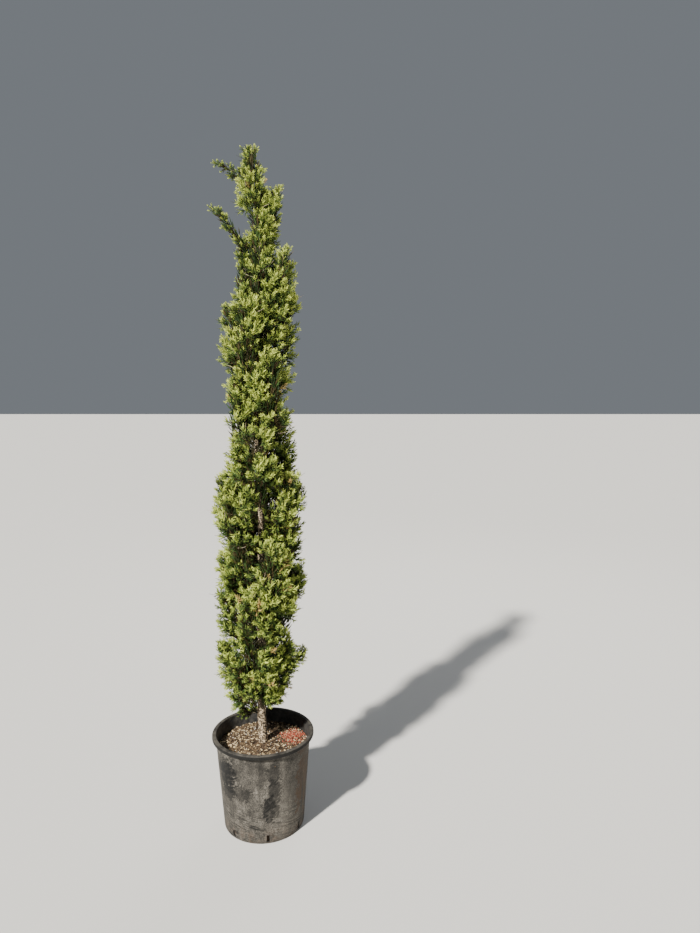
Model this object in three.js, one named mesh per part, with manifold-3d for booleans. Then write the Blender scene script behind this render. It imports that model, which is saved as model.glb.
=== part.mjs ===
// A narrow upright cypress growing in a round nursery pot.
// Units are millimetres, +Z is up, and the origin is the centre of the pot's flat underside.
// The trunk runs up through the crown whole. Each bough leaves it at a narrow angle and ends
// where it enters an upright plume of foliage, and every plume keeps to its own space.

import * as THREE from "three";
import { mergeVertices } from "three/addons/utils/BufferGeometryUtils.js";
import Module from "manifold-3d";

const wasm = await Module();
wasm.setup();

const { degToRad, lerp } = THREE.MathUtils;

// Clearance that touching pieces keep and that sprays keep, and the finest detail of a fused solid
const gap = 0.3;
const sprayGap = 1;
const finestSlivers = [0.04, 0.1, 0.2, 0.3];
const closestCorners = 0.002;

// Pot: a thin tapered wall with a rolled lip and drainage slots round its foot
const potHeight = 370;
const lipRadius = 195;
const lipHeight = 16;
const lipRound = 4;
const lipUnderside = 2;
const wallTopRadius = 181;
const wallFootRadius = 154;
const footRound = 6;
const footBevel = 1.8;
const wallThickness = 3.5;
const floorThickness = 4;
const potSides = 36;
const slotCount = 7;
const slotWidth = 10;
const slotHeight = 28;
const slotFoot = 8;
const slotDepth = 36;
const firstSlotAngle = degToRad(-78.5);

// Soil: fills the pot to a little under the lip and is highest round the trunk
const soilLevel = 325;
const soilEdgeDrop = 9;
const soilCrownRadius = 45;

// Trunk: height, sideways bends, taper and root flare
const treeTop = 2524;
const trunkFoot = soilLevel + gap;
const trunkFootRadius = 15.6;
const trunkTipRadius = 1.4;
const trunkTaper = 0.95;
const flareRadius = 3.2;
const flareHeight = 26;
const trunkSides = 9;
const trunkSteps = 24;
const ringCrowding = 1.25;
const trunkBends = [
  { height: 325, across: 0, back: 0 },
  { height: 470, across: -5, back: 2 },
  { height: 850, across: 0, back: -3 },
  { height: 1230, across: 3, back: 2 },
  { height: 1500, across: -6, back: 0 },
  { height: 1950, across: 2, back: -3 },
  { height: 2370, across: 6, back: 1 },
  { height: 2524, across: -6, back: 0 },
];

// Crown: half its width at each height, and how far its middle stands to the right of the trunk
const crownOutline = [
  { height: 440, half: 60, shift: -10 },
  { height: 560, half: 118, shift: -22 },
  { height: 670, half: 152, shift: -8 },
  { height: 800, half: 138, shift: -18 },
  { height: 960, half: 166, shift: -4 },
  { height: 1120, half: 146, shift: 2 },
  { height: 1240, half: 166, shift: -4 },
  { height: 1400, half: 148, shift: 1 },
  { height: 1640, half: 118, shift: 18 },
  { height: 1850, half: 124, shift: 24 },
  { height: 2030, half: 116, shift: 32 },
  { height: 2240, half: 66, shift: 14 },
  { height: 2400, half: 70, shift: 0 },
  { height: 2524, half: 12, shift: -4 },
];

// Boughs and plumes that follow the rule of the golden angle round the trunk
const ruledPlumes = 18;
const goldenAngle = Math.PI * (3 - Math.sqrt(5));
const firstAzimuth = degToRad(-112);
const lowestJoint = 452;
const highestJoint = 1960;
const jointCrowding = 1.16;
const lowPlumeRise = 500;
const highPlumeRise = 430;
const tipShare = 0.8;
const bulgeShare = 0.61;
const shoulderShare = 0.6;
const shoulderRise = 0.2;
const bulgeRise = 0.6;
const plumeSwirl = degToRad(16);
const fullPlumeHalf = 138;
const seedStep = 100;

// Shoots that stand out of the crown's even outline or fill its skirt: their side in degrees, joint
// and tip. The slender ones bear smaller sprays.
const standingShoots = [
  { name: "low_back", side: 166, joint: 424, tip: 486, reach: 108, sprays: 8, spread: 0.5, size: 0.62 },
  { name: "low_front", side: -82, joint: 448, tip: 640, reach: 92, sprays: 9, spread: 0.66, size: 0.9 },
  { name: "low_mid", side: -20, joint: 462, tip: 650, reach: 88, sprays: 9, spread: 0.6, size: 0.9 },
  { name: "low_left", side: 198, joint: 440, tip: 745, reach: 158, sprays: 13, spread: 0.72 },
  { name: "low_right", side: 8, joint: 478, tip: 690, reach: 166, sprays: 9, spread: 0.5, size: 0.7 },
  { name: "left_tuft", side: 176, joint: 880, tip: 1365, reach: 146, sprays: 14, spread: 0.9 },
  { name: "right_tuft", side: 2, joint: 830, tip: 1325, reach: 144, sprays: 14, spread: 0.9 },
  { name: "left_spur", side: 163, joint: 1600, tip: 1985, reach: 132, sprays: 12, spread: 0.7 },
  { name: "right_spur", side: -30, joint: 1790, tip: 2170, reach: 136, sprays: 13, spread: 0.66 },
  { name: "left_arm", side: 206, joint: 2066, tip: 2306, reach: 170, sprays: 10, spread: 0.4, size: 0.6 },
  { name: "right_arm", side: 8, joint: 2130, tip: 2392, reach: 84, sprays: 12, spread: 0.6 },
  { name: "top_left", side: 178, joint: 2376, tip: 2472, reach: 142, sprays: 8, spread: 0.36, size: 0.55 },
  { name: "leader", side: -90, joint: 2262, tip: 2522, reach: 34, sprays: 14, spread: 0.6, size: 0.9 },
  { name: "low_rear", side: 92, joint: 456, tip: 668, reach: 96, sprays: 8, spread: 0.6, size: 0.9 },
];

// Limbs: thickness at the trunk, at the plume's foot and at the plume's tip
const boughShare = 0.42;
const boughThickest = 6.5;
const boughFootShare = 0.5;
const stemTipRadius = 1.1;
const boughSides = 5;
const boughSteps = 5;
const stemSides = 3;
const stemSteps = 2;
const plumeFoot = 0.3;
const stemEnd = 0.48;
const slightRise = 265;

// Plume: a dense heart round the stem, and flat sprays that stand out of it
const ruledSprays = 14;
const heartThickest = 39;
const heartEndRadius = 5;
const heartFullness = 0.62;
const heartLowness = 0.85;
const heartSides = 6;
const heartSteps = 4;
const heartFoot = 0.32;
const heartTip = 0.95;
const lowestSpray = 0.36;
const rootDepth = 0.62;
const leastRoot = 300;
const lowSprayLength = 118;
const highSprayLength = 92;
const sprayWidth = 46;
const sprayThickness = 17;
const sprayWaist = 0.42;
const lowSprayOpening = degToRad(60);
const highSprayOpening = degToRad(24);
const outwardTurn = degToRad(140);
const sprayTrials = 7;
const closestHold = 0.8;
const widestHold = 1.2;
const spreadEvening = 0.5;
const holdSeed = 0.1;
const turnSeed = 0.25;
const trialSeed = 17;
const trialCut = 0.1;
const reachMargin = 12;

// Colours and finishes
const potFinish = { color: 0x3c3b3a, roughness: 0.62, metalness: 0 };
const soilFinish = { color: 0x4b382b, roughness: 0.95, metalness: 0 };
const barkFinish = { color: 0x8a7762, roughness: 0.9, metalness: 0 };
const foliageFinish = { color: 0x4f6b34, roughness: 0.78, metalness: 0 };

// The same number from 0 to 1 each time for the same whole number.
function chance(number) {
  const wave = Math.sin(number * 12.9898) * 43758.5453;
  return wave - Math.floor(wave);
}

// A value read off a list of heights, eased from one height to the next.
function along(list, height, key) {
  const last = list[list.length - 1];
  if (height <= list[0].height) {
    return list[0][key];
  }
  const above = list.find((entry) => entry.height >= height) ?? last;
  const below = list[Math.max(list.indexOf(above) - 1, 0)];
  const share = THREE.MathUtils.smoothstep(height, below.height, above.height);
  return lerp(below[key], above[key], share);
}

function trunkAxis(height) {
  return new THREE.Vector3(along(trunkBends, height, "across"), along(trunkBends, height, "back"), height);
}

function trunkRadius(height) {
  const share = THREE.MathUtils.clamp((height - trunkFoot) / (treeTop - trunkFoot), 0, 1);
  const taper = trunkTipRadius + (trunkFootRadius - trunkTipRadius) * (1 - share) ** trunkTaper;
  return taper + flareRadius * Math.exp(-(height - trunkFoot) / flareHeight);
}

// How far the crown reaches from the trunk's axis, to one side at one height.
function crownReach(azimuth, height) {
  return along(crownOutline, height, "half") + along(crownOutline, height, "shift") * Math.cos(azimuth);
}

function toSolid(geometry) {
  geometry.deleteAttribute("normal");
  geometry.deleteAttribute("uv");
  const merged = mergeVertices(geometry);
  const mesh = new wasm.Mesh({
    numProp: 3,
    vertProperties: new Float32Array(merged.attributes.position.array),
    triVerts: new Uint32Array(merged.index.array),
  });
  return new wasm.Manifold(mesh);
}

function toGeometry(solid) {
  const mesh = solid.getMesh();
  const geometry = new THREE.BufferGeometry();
  geometry.setAttribute("position", new THREE.BufferAttribute(mesh.vertProperties, 3));
  geometry.setIndex(new THREE.BufferAttribute(mesh.triVerts, 1));
  return geometry;
}

// The one closed outer body of a joined solid: loose scraps and sealed hollows are left behind.
function outerBody(solid) {
  return solid.decompose().reduce((best, piece) => (piece.volume() > best.volume() ? piece : best));
}

// True where no two corners of a solid lie so close that they could run together.
function hasClearCorners(solid) {
  return mergeVertices(toGeometry(solid), closestCorners).attributes.position.count === solid.numVert();
}

// A solid with its finest slivers melted away, or nothing where it is in several bodies or has a
// seam too fine to keep.
function cleaned(solid, sliver) {
  const outer = solid.simplify(sliver).decompose().filter((part) => part.volume() > 0);
  return outer.length === 1 && hasClearCorners(outer[0]) ? outer[0] : null;
}

// Pieces fused onto the first one in turn, leaving out any that would hang loose or meet it in too
// fine a seam. A hollow that the fusing seals is filled.
function fuse(pieces) {
  return pieces.reduce((body, piece) => {
    const joined = body.add(piece);
    return finestSlivers.reduce((found, sliver) => found ?? cleaned(joined, sliver), null) ?? body;
  });
}

// A round profile turned about the upright axis. LatheGeometry turns about Y, so it is stood up.
function turned(profile) {
  const geometry = new THREE.LatheGeometry(profile, potSides);
  geometry.rotateX(Math.PI / 2);
  return geometry;
}

function wallRadius(height) {
  return lerp(wallFootRadius, wallTopRadius, height / (potHeight - lipHeight));
}

// The pot's outline, from the middle of its floor out, up the wall, over the lip and back inside.
function potProfile() {
  const point = (radius, height) => new THREE.Vector2(radius, height);
  const lipFoot = potHeight - lipHeight;
  const inside = (height) => wallRadius(height) - wallThickness;
  return [
    point(0, 0),
    point(wallFootRadius - footRound, 0),
    point(wallFootRadius - footBevel, footBevel),
    point(wallRadius(footRound), footRound),
    point(wallRadius(lipFoot), lipFoot),
    point(lipRadius - lipUnderside, lipFoot),
    point(lipRadius, lipFoot + lipRound),
    point(lipRadius, potHeight - lipRound),
    point(lipRadius - lipRound, potHeight),
    point(wallRadius(lipFoot), potHeight),
    point(inside(potHeight - lipRound), potHeight - lipRound),
    point(inside(floorThickness), floorThickness),
    point(0, floorThickness),
  ];
}

function makePot() {
  const slots = Array.from({ length: slotCount }, (unused, index) => {
    const slot = new THREE.BoxGeometry(slotDepth, slotWidth, slotHeight);
    slot.translate(wallFootRadius, 0, slotFoot + slotHeight / 2);
    slot.rotateZ(firstSlotAngle + (index * 2 * Math.PI) / slotCount);
    return toSolid(slot);
  });
  return toSolid(turned(potProfile())).subtract(wasm.Manifold.union(slots));
}

function makeSoil() {
  const floor = floorThickness + gap;
  const edge = soilLevel - soilEdgeDrop;
  const inside = (height) => wallRadius(height) - wallThickness - gap;
  return toSolid(
    turned([
      new THREE.Vector2(0, floor),
      new THREE.Vector2(inside(floor), floor),
      new THREE.Vector2(inside(edge), edge),
      new THREE.Vector2(soilCrownRadius, soilLevel),
      new THREE.Vector2(0, soilLevel),
    ]),
  );
}

// The trunk is a stack of level rings, each set on the trunk's axis at its own height.
function makeTrunk(margin) {
  const geometry = new THREE.CylinderGeometry(1, 1, 1, trunkSides, trunkSteps);
  geometry.rotateX(Math.PI / 2);
  const position = geometry.attributes.position;
  const vertex = new THREE.Vector3();
  for (let index = 0; index < position.count; index += 1) {
    vertex.fromBufferAttribute(position, index);
    const share = vertex.z + 0.5;
    const height = trunkFoot + (treeTop - trunkFoot) * share ** ringCrowding;
    const radius = trunkRadius(height) + margin;
    const centre = trunkAxis(height);
    position.setXYZ(index, centre.x + vertex.x * radius, centre.y + vertex.y * radius, height);
  }
  return toSolid(geometry);
}

// One tapering limb: rings set square on a path, from one share of it to another.
function makeLimb(path, from, to, radiusAt, sides, steps) {
  const geometry = new THREE.CylinderGeometry(1, 1, 1, sides, steps);
  const position = geometry.attributes.position;
  const vertex = new THREE.Vector3();
  for (let index = 0; index < position.count; index += 1) {
    vertex.fromBufferAttribute(position, index);
    const share = vertex.y + 0.5;
    const { point, side, out } = frameOn(path, lerp(from, to, share));
    const radius = radiusAt(share);
    point.addScaledVector(side, vertex.x * radius).addScaledVector(out, vertex.z * radius);
    position.setXYZ(index, point.x, point.y, point.z);
  }
  return toSolid(geometry);
}

// A point on a path, the direction of growth there, and two directions square to it: one away
// from the trunk and one sideways.
function frameOn(path, share) {
  const point = path.curve.getPoint(share);
  const growth = path.curve.getTangent(share);
  const out = path.sideways.clone().cross(growth).normalize();
  const side = growth.clone().cross(out);
  return { point, growth, side, out };
}

// The path of a bough and the plume it carries: out from the trunk, swelling, then upright.
function plumePath(plume) {
  const rise = plume.tip - plume.joint;
  const place = (reach, height, turn) => {
    const azimuth = plume.azimuth + turn;
    return trunkAxis(height).add(new THREE.Vector3(reach * Math.cos(azimuth), reach * Math.sin(azimuth), 0));
  };
  const curve = new THREE.CubicBezierCurve3(
    place(0, plume.joint, 0),
    place(shoulderShare * plume.bulge, plume.joint + shoulderRise * rise, 0),
    place(plume.bulge, plume.joint + bulgeRise * rise, plume.swirl / 2),
    place(plume.reach, plume.tip, plume.swirl),
  );
  return { curve, sideways: new THREE.Vector3(-Math.sin(plume.azimuth), Math.cos(plume.azimuth), 0) };
}

// Plumes round the trunk by the golden angle, close together low down and wider apart above.
function ruledPlume(index) {
  const share = index / (ruledPlumes - 1);
  const azimuth = firstAzimuth + index * goldenAngle;
  const joint = lerp(lowestJoint, highestJoint, share ** jointCrowding);
  const tip = joint + lerp(lowPlumeRise, highPlumeRise, share);
  const swirl = plumeSwirl * (2 * chance(index + 1) - 1);
  const middle = lerp(joint, tip, bulgeRise);
  return {
    name: String(index + 1).padStart(2, "0"),
    azimuth,
    joint,
    tip,
    swirl,
    reach: tipShare * crownReach(azimuth, tip),
    bulge: bulgeShare * crownReach(azimuth, middle),
    sprays: ruledSprays,
    spread: Math.min(along(crownOutline, middle, "half") / fullPlumeHalf, 1),
    size: 1,
    stands: false,
    seed: seedStep * (index + 1),
  };
}

function standingPlume(shoot, index) {
  const azimuth = degToRad(shoot.side);
  const middle = lerp(shoot.joint, shoot.tip, bulgeRise);
  const bulge = Math.min(bulgeShare * crownReach(azimuth, middle), shoot.reach);
  const seed = seedStep * (ruledPlumes + index + 1);
  return { size: 1, ...shoot, azimuth, stands: true, swirl: 0, bulge, seed };
}

// A flat spray of branchlets as a slim eight-faced blade, widest below its middle.
function makeSpray({ root, direction, length, width, turn }) {
  const geometry = new THREE.OctahedronGeometry(1);
  const position = geometry.attributes.position;
  for (let index = 0; index < position.count; index += 1) {
    const y = position.getY(index);
    const raised = y < 0 ? sprayWaist * (1 + y) : sprayWaist + (1 - sprayWaist) * y;
    position.setY(index, raised * length);
  }
  geometry.scale(width / 2, 1, (sprayThickness / sprayWidth) * (width / 2));
  geometry.rotateY(turn);
  const stand = new THREE.Quaternion().setFromUnitVectors(new THREE.Vector3(0, 1, 0), direction);
  geometry.applyQuaternion(stand);
  geometry.translate(root.x, root.y, root.z);
  return toSolid(geometry);
}

function boxesMeet(first, second) {
  return [0, 1, 2].every(
    (axis) => first.min[axis] - sprayGap < second.max[axis] && second.min[axis] - sprayGap < first.max[axis],
  );
}

// True where a piece keeps its clearance from every other piece in a list.
function isClear(piece, others) {
  const box = piece.boundingBox();
  return others.every(
    (other) => !boxesMeet(box, other.boundingBox()) || piece.minGap(other, 2 * sprayGap) >= sprayGap,
  );
}

// Limbs of one plume: the bough up to the plume's foot, and the stem that carries on inside it.
// The slight shoots low down and near the tip have no bough, and their stem starts at the trunk.
// A room is a limb with the clearance round it that other plumes keep.
function makeLimbs(plume, trunkCut) {
  const path = plumePath(plume);
  const thick = Math.min(boughThickest, boughShare * trunkRadius(plume.joint));
  const foot = Math.max(boughFootShare * thick, stemTipRadius);
  const boughRadius = (share) => lerp(thick, foot, share);
  const stemRadius = (share) => lerp(foot, stemTipRadius, share);
  const stemStart = plume.tip - plume.joint < slightRise ? 0 : plumeFoot;
  const boughEnd = plumeFoot * (1 - gap / (path.curve.getLength() * plumeFoot));
  const wide = (radiusAt) => (share) => radiusAt(share) + 2 * sprayGap;
  const stem = makeLimb(path, stemStart, stemEnd, stemRadius, stemSides, stemSteps).subtract(trunkCut);
  const stemRoom = makeLimb(path, stemStart, stemEnd, wide(stemRadius), stemSides, stemSteps);
  if (stemStart === 0) {
    return { path, boughs: [], stem: outerBody(stem), rooms: [stemRoom] };
  }
  const bough = makeLimb(path, 0, boughEnd, boughRadius, boughSides, boughSteps).subtract(trunkCut);
  const boughRoom = makeLimb(path, 0, boughEnd, wide(boughRadius), boughSides, boughSteps);
  return { path, boughs: [outerBody(bough)], stem: outerBody(stem), rooms: [stemRoom, boughRoom] };
}

// A plume's swelling round its stem, with a margin that is nothing for the heart itself.
function makeSwelling(plume, path, margin) {
  const swell = (share) => heartRadius(plume, share) + margin;
  const past = margin / path.curve.getLength();
  return makeLimb(path, heartFoot - past, heartTip + past, swell, heartSides, heartSteps);
}

// The dense heart of a plume, cut clear of its neighbours' rooms. Of what the cuts leave, it is the
// part that holds most of the stem.
function makeHeart(plume, path, stem, rooms) {
  const swelling = makeSwelling(plume, path, 0);
  const box = swelling.boundingBox();
  const near = rooms.filter((room) => boxesMeet(box, room.boundingBox()));
  const held = (part) => part.intersect(stem).volume();
  const parts = near.length > 0 ? swelling.subtract(wasm.Manifold.union(near)).decompose() : [swelling];
  return parts.reduce((best, part) => (held(part) > held(best) ? part : best));
}

function heartRadius(plume, share) {
  const swelling = Math.sin(Math.PI * share ** heartLowness) ** heartFullness;
  return Math.max(plume.spread * heartThickest * swelling, heartEndRadius);
}

// One spray of a plume: its root is sunk in the heart, and it opens wide low down and narrow above.
function growSpray(plume, path, index, trial) {
  const share = (index + 0.5) / plume.sprays;
  const seed = plume.seed + index;
  const { point, growth, side, out } = frameOn(path, lerp(lowestSpray, heartTip, share));
  const turn = outwardTurn * (2 * chance(seed + trial * trialSeed) - 1);
  const shrink = 1 - trialCut * trial;
  const held = shrink * lerp(closestHold, widestHold, chance(seed + holdSeed));
  const opening = held * lerp(lowSprayOpening, highSprayOpening, share);
  const size = shrink * plume.size * lerp(plume.spread, 1, spreadEvening);
  const length = size * lerp(lowSprayLength, highSprayLength, share);
  const away = out.multiplyScalar(Math.cos(turn)).addScaledVector(side, Math.sin(turn));
  const direction = growth.multiplyScalar(Math.cos(opening)).addScaledVector(away, Math.sin(opening));
  const root = point.addScaledVector(away, rootDepth * heartRadius(plume, share));
  return { root, direction, length, width: plume.size * sprayWidth, turn: Math.PI * chance(seed + turnSeed) };
}

// True where a spray's tip stays inside the crown's outline.
function staysInside(spray, plume) {
  const tip = spray.root.clone().addScaledVector(spray.direction, spray.length);
  const offset = tip.clone().sub(trunkAxis(tip.z));
  const azimuth = Math.atan2(offset.y, offset.x);
  const limit = Math.max(crownReach(azimuth, tip.z), plume.stands ? plume.reach : 0);
  return Math.hypot(offset.x, offset.y) < limit + reachMargin && tip.z < treeTop;
}

function finished(name, solid, finish) {
  const mesh = new THREE.Mesh(toGeometry(solid), new THREE.MeshStandardMaterial(finish));
  mesh.name = name;
  return mesh;
}

// The first spray, of a few tries, that is rooted in its own plume and clear of all the others.
function fitSpray(entry, index, others) {
  for (let trial = 0; trial < sprayTrials; trial += 1) {
    const spray = growSpray(entry.plume, entry.path, index, trial);
    if (staysInside(spray, entry.plume)) {
      const blade = makeSpray(spray);
      if (blade.intersect(entry.heart).volume() > leastRoot && isClear(blade, others)) {
        return [blade];
      }
    }
  }
  return [];
}

// All the plumes grow together, one spray each in turn, so that none crowds out the next.
function makeCrown(trunk) {
  const trunkCut = makeTrunk(gap);
  const trunkRoom = makeTrunk(2 * sprayGap);
  const plumes = [
    ...Array.from({ length: ruledPlumes }, (unused, index) => ruledPlume(index)),
    ...standingShoots.map(standingPlume),
  ];
  const grown = plumes.map((plume) => ({ plume, ...makeLimbs(plume, trunkCut) }));
  const heartRooms = [];
  for (const entry of grown) {
    const limbRooms = grown.filter((other) => other !== entry).flatMap((other) => other.rooms);
    entry.heart = makeHeart(entry.plume, entry.path, entry.stem, [trunkRoom, ...limbRooms, ...heartRooms]);
    heartRooms.push(makeSwelling(entry.plume, entry.path, 2 * sprayGap));
    entry.pieces = [entry.stem, entry.heart];
  }
  const boughs = grown.flatMap((entry) => entry.boughs);
  const mostSprays = Math.max(...plumes.map((plume) => plume.sprays));
  for (let index = mostSprays - 1; index >= 0; index -= 1) {
    for (const entry of grown.filter((candidate) => index < candidate.plume.sprays)) {
      const others = grown.filter((other) => other !== entry).flatMap((other) => other.pieces);
      entry.pieces.push(...fitSpray(entry, index, [trunk, ...boughs, ...others]));
    }
  }
  const crown = new THREE.Group();
  for (const { plume, boughs: own, pieces } of grown) {
    own.forEach((bough) => crown.add(finished(`bough_${plume.name}`, bough, barkFinish)));
    crown.add(finished(`foliage_${plume.name}`, fuse(pieces), foliageFinish));
  }
  return crown;
}

const pot = new THREE.Group();
pot.add(finished("pot", makePot(), potFinish), finished("soil", makeSoil(), soilFinish));

const trunk = makeTrunk(0);
const plant = new THREE.Group();
plant.add(finished("trunk", trunk, barkFinish), makeCrown(trunk));

const tree = new THREE.Group();
tree.add(pot, plant);

export default tree;
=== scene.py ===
import math

import bpy
import numpy as np
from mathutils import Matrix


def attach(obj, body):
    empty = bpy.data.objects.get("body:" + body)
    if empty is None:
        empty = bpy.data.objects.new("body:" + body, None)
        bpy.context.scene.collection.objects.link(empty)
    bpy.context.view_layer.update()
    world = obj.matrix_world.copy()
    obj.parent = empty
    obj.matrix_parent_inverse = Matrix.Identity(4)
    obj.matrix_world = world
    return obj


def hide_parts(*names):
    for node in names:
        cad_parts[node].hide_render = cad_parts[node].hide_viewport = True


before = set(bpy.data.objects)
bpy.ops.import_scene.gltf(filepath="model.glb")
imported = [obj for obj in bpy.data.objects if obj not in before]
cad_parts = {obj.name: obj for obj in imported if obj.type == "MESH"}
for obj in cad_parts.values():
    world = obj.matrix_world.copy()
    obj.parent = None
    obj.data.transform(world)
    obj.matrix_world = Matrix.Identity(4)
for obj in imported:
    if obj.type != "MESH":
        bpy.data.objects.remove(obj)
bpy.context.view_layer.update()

# View: the tree is seen from head height, two and a half metres in front of it and a step to its
# right, looking slightly down. Lengths are metres, +X is to the right and +Z is up.

camera_place = (0.336, -2.563, 1.727)
camera_pitch = math.radians(-7.3)
camera_lens = 27.05
tree_middle = (0, 0, 1.2)

camera = bpy.data.objects.new("camera", bpy.data.cameras.new("camera"))
camera.location = camera_place
camera.rotation_euler = (math.radians(90) + camera_pitch, 0, 0)
camera.data.lens = camera_lens
camera.data.sensor_width = 36
camera.data.clip_end = 60
bpy.context.scene.collection.objects.link(camera)
bpy.context.scene.camera = camera


def add_light(name, kind, place, width, power, color):
    """A light that faces the middle of the tree: a square lamp of a width in metres, or an even one
    from far off whose width is an angle."""
    light = bpy.data.lights.new(name, kind)
    setattr(light, "angle" if kind == "SUN" else "size", width)
    light.energy = power
    light.color = color
    lamp = bpy.data.objects.new(name, light)
    across, back, rise = np.subtract(tree_middle, place)
    tilt = math.atan2(math.hypot(across, back), -rise)
    lamp.location = place
    lamp.rotation_euler = (tilt, 0, math.atan2(-across, back))
    bpy.context.scene.collection.objects.link(lamp)


add_light("key_light", "SUN", (-2.25, -3.4, 4.7), math.radians(3), 9.6, (1.0, 0.97, 0.90))
add_light("fill_light", "AREA", (3.4, -2.6, 2.4), 2.6, 8, (0.92, 0.96, 1.0))
add_light("back_light", "AREA", (1.2, 3.4, 3.8), 2.4, 45, (1.0, 1.0, 1.0))

world = bpy.data.worlds.new("studio")
world.use_nodes = True
backdrop = world.node_tree.nodes["Background"].inputs
backdrop["Color"].default_value = (0.76, 0.83, 0.91, 1)
backdrop["Strength"].default_value = 0.23
bpy.context.scene.world = world


def new_material(name, color, roughness, specular=0.4):
    """A plain finish of one colour, to which a pattern may then be linked."""
    material = bpy.data.materials.new(name)
    material.use_nodes = True
    shader = material.node_tree.nodes["Principled BSDF"]
    shader.inputs["Base Color"].default_value = (*color, 1)
    shader.inputs["Roughness"].default_value = roughness
    shader.inputs["Specular IOR Level"].default_value = specular
    material.diffuse_color = (*color, 1)
    return material


def add_piece(name, points, faces, materials, slots=None, smooth=True):
    """One mesh object at the origin, from an array of places and a list of arrays of faces, each
    with as many corner numbers to a row as its faces have corners."""
    mesh = bpy.data.meshes.new(name)
    corners = np.concatenate([block.ravel() for block in faces])
    sizes = np.concatenate([np.full(len(block), block.shape[1]) for block in faces])
    mesh.vertices.add(len(points))
    mesh.vertices.foreach_set("co", np.asarray(points, np.float32).ravel())
    mesh.loops.add(len(corners))
    mesh.loops.foreach_set("vertex_index", corners.astype(np.int32))
    mesh.polygons.add(len(sizes))
    mesh.polygons.foreach_set("loop_start", (np.cumsum(sizes) - sizes).astype(np.int32))
    for material in materials:
        mesh.materials.append(material)
    if slots is not None:
        mesh.polygons.foreach_set("material_index", np.asarray(slots, np.int32))
    mesh.polygons.foreach_set("use_smooth", np.full(len(sizes), smooth))
    mesh.update(calc_edges=True)
    mesh.validate()
    piece = bpy.data.objects.new(name, mesh)
    bpy.context.scene.collection.objects.link(piece)
    return piece


# Floor: a plain pale studio floor of painted board under the pot, wide enough to run out of the
# view. It is the stage, and no part of the tree.

floor_half = 30.0
floor_corners = np.array([(-1, -1, 0), (1, -1, 0), (1, 1, 0), (-1, 1, 0)]) * floor_half
floor_finish = new_material("floor_paint", (0.62, 0.61, 0.59), 0.85, 0.2)
floor = add_piece("floor", floor_corners, [np.array([[0, 1, 2, 3]])], [floor_finish])


# Pot: a round nursery pot, blow moulded from dark recycled plastic with a thin tapered wall, a
# rolled lip and drain slots cut through the foot of the wall. It wears a film of dried dust, worn
# off in patches, with splashes near the floor and scratches from being dragged.

pot_height = 0.370
lip_radius, lip_height, lip_round, lip_swell = 0.195, 0.016, 0.004, 0.001
lip_foot = pot_height - lip_height
neck_round, foot_round = 0.002, 0.006
wall_foot_radius, wall_top_radius = 0.154, 0.181
wall_thickness, floor_thickness = 0.0035, 0.004
slot_count = 7
slot_width, slot_foot, slot_top = 0.010, 0.008, 0.036
slot_splay = 0.22
first_slot_angle = math.radians(-78.5)
pot_columns, slot_columns = 168, 3
foot_steps, slot_row_count, wall_row_count, inner_lip_rows = 6, 6, 44, 3
slot_clearance, neck_clearance = 0.008, 0.003
patch_rag, patch_edge, patch_heart = 3.6, 2.88, 2.62
dent_depth, dent_fade = 0.0009, 0.03
dent_layers = ((0.075, 1.0, 3.1), (0.034, 0.5, 8.4))
wave_pitch, wave_steepness = 12.9898, 43758.5453
lattice_steps = (1.31, 7.77, 3.93)


def chance(number):
    """A number from 0 to 1 that is the same each time: what follows the point in a steep sine."""
    wave = np.sin(np.asarray(number, float) * wave_pitch) * wave_steepness
    return wave - np.floor(wave)


def between(ends, share):
    """The value a share of the way from the first end to the second."""
    return ends[0] + (ends[1] - ends[0]) * share


def ease(share):
    """Eases a share from 0 to 1: its square, times three less twice the share."""
    return share * share * (3 - 2 * share)


def cloud(points, size, seed=0.0):
    """Smooth noise from 0 to 1: a chance number on each corner of a lattice of cubes, blended by
    eased shares between the eight corners of the cube that a point lies in."""
    cell = np.asarray(points) / size + seed
    corner = np.floor(cell)
    share = ease(cell - corner)
    total = np.zeros(cell.shape[:-1])
    for step in np.ndindex(2, 2, 2):
        weight = np.prod(np.where(step, share, 1 - share), axis=-1)
        total += weight * chance((corner + step) @ np.array(lattice_steps))
    return total


def layered(points, layers):
    """Noise about zero: clouds of given size, strength and seed added up, less half their
    strengths."""
    total = sum(strength * cloud(points, size, seed) for size, strength, seed in layers)
    return total - sum(strength for _, strength, _ in layers) / 2


def wall_radius(height):
    """The outside of the wall widens evenly from its foot to the underside of the lip."""
    return between((wall_foot_radius, wall_top_radius), np.asarray(height) / lip_foot)


def arc(centre, radius, start, end, steps):
    """Points of a round corner: centre plus radius times cosine and sine, from start to end."""
    angle = np.radians(np.linspace(start, end, steps))
    return np.array(centre) + radius * np.stack([np.cos(angle), np.sin(angle)], axis=1)


def turned(profile, angles):
    """A profile of radius and height carried round the upright axis: x is radius times the cosine
    of the angle and y radius times its sine. The angles may differ from ring to ring."""
    radius, height = profile[:, :1], profile[:, 1:]
    angles = np.broadcast_to(angles, (len(profile), angles.shape[-1]))
    across, back = radius * np.cos(angles), radius * np.sin(angles)
    return np.stack([across, back, height + 0 * angles], axis=-1)


def ring_faces(rings, columns):
    """Four-cornered faces between rings that follow each other, closed all the way round."""
    ring = np.arange(rings - 1)[:, None] * columns
    here = np.arange(columns)[None, :]
    after = (here + 1) % columns
    corners = [ring + here, ring + after, ring + columns + after, ring + columns + here]
    return np.stack([np.broadcast_to(corner, (rings - 1, columns)) for corner in corners], axis=-1)


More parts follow.
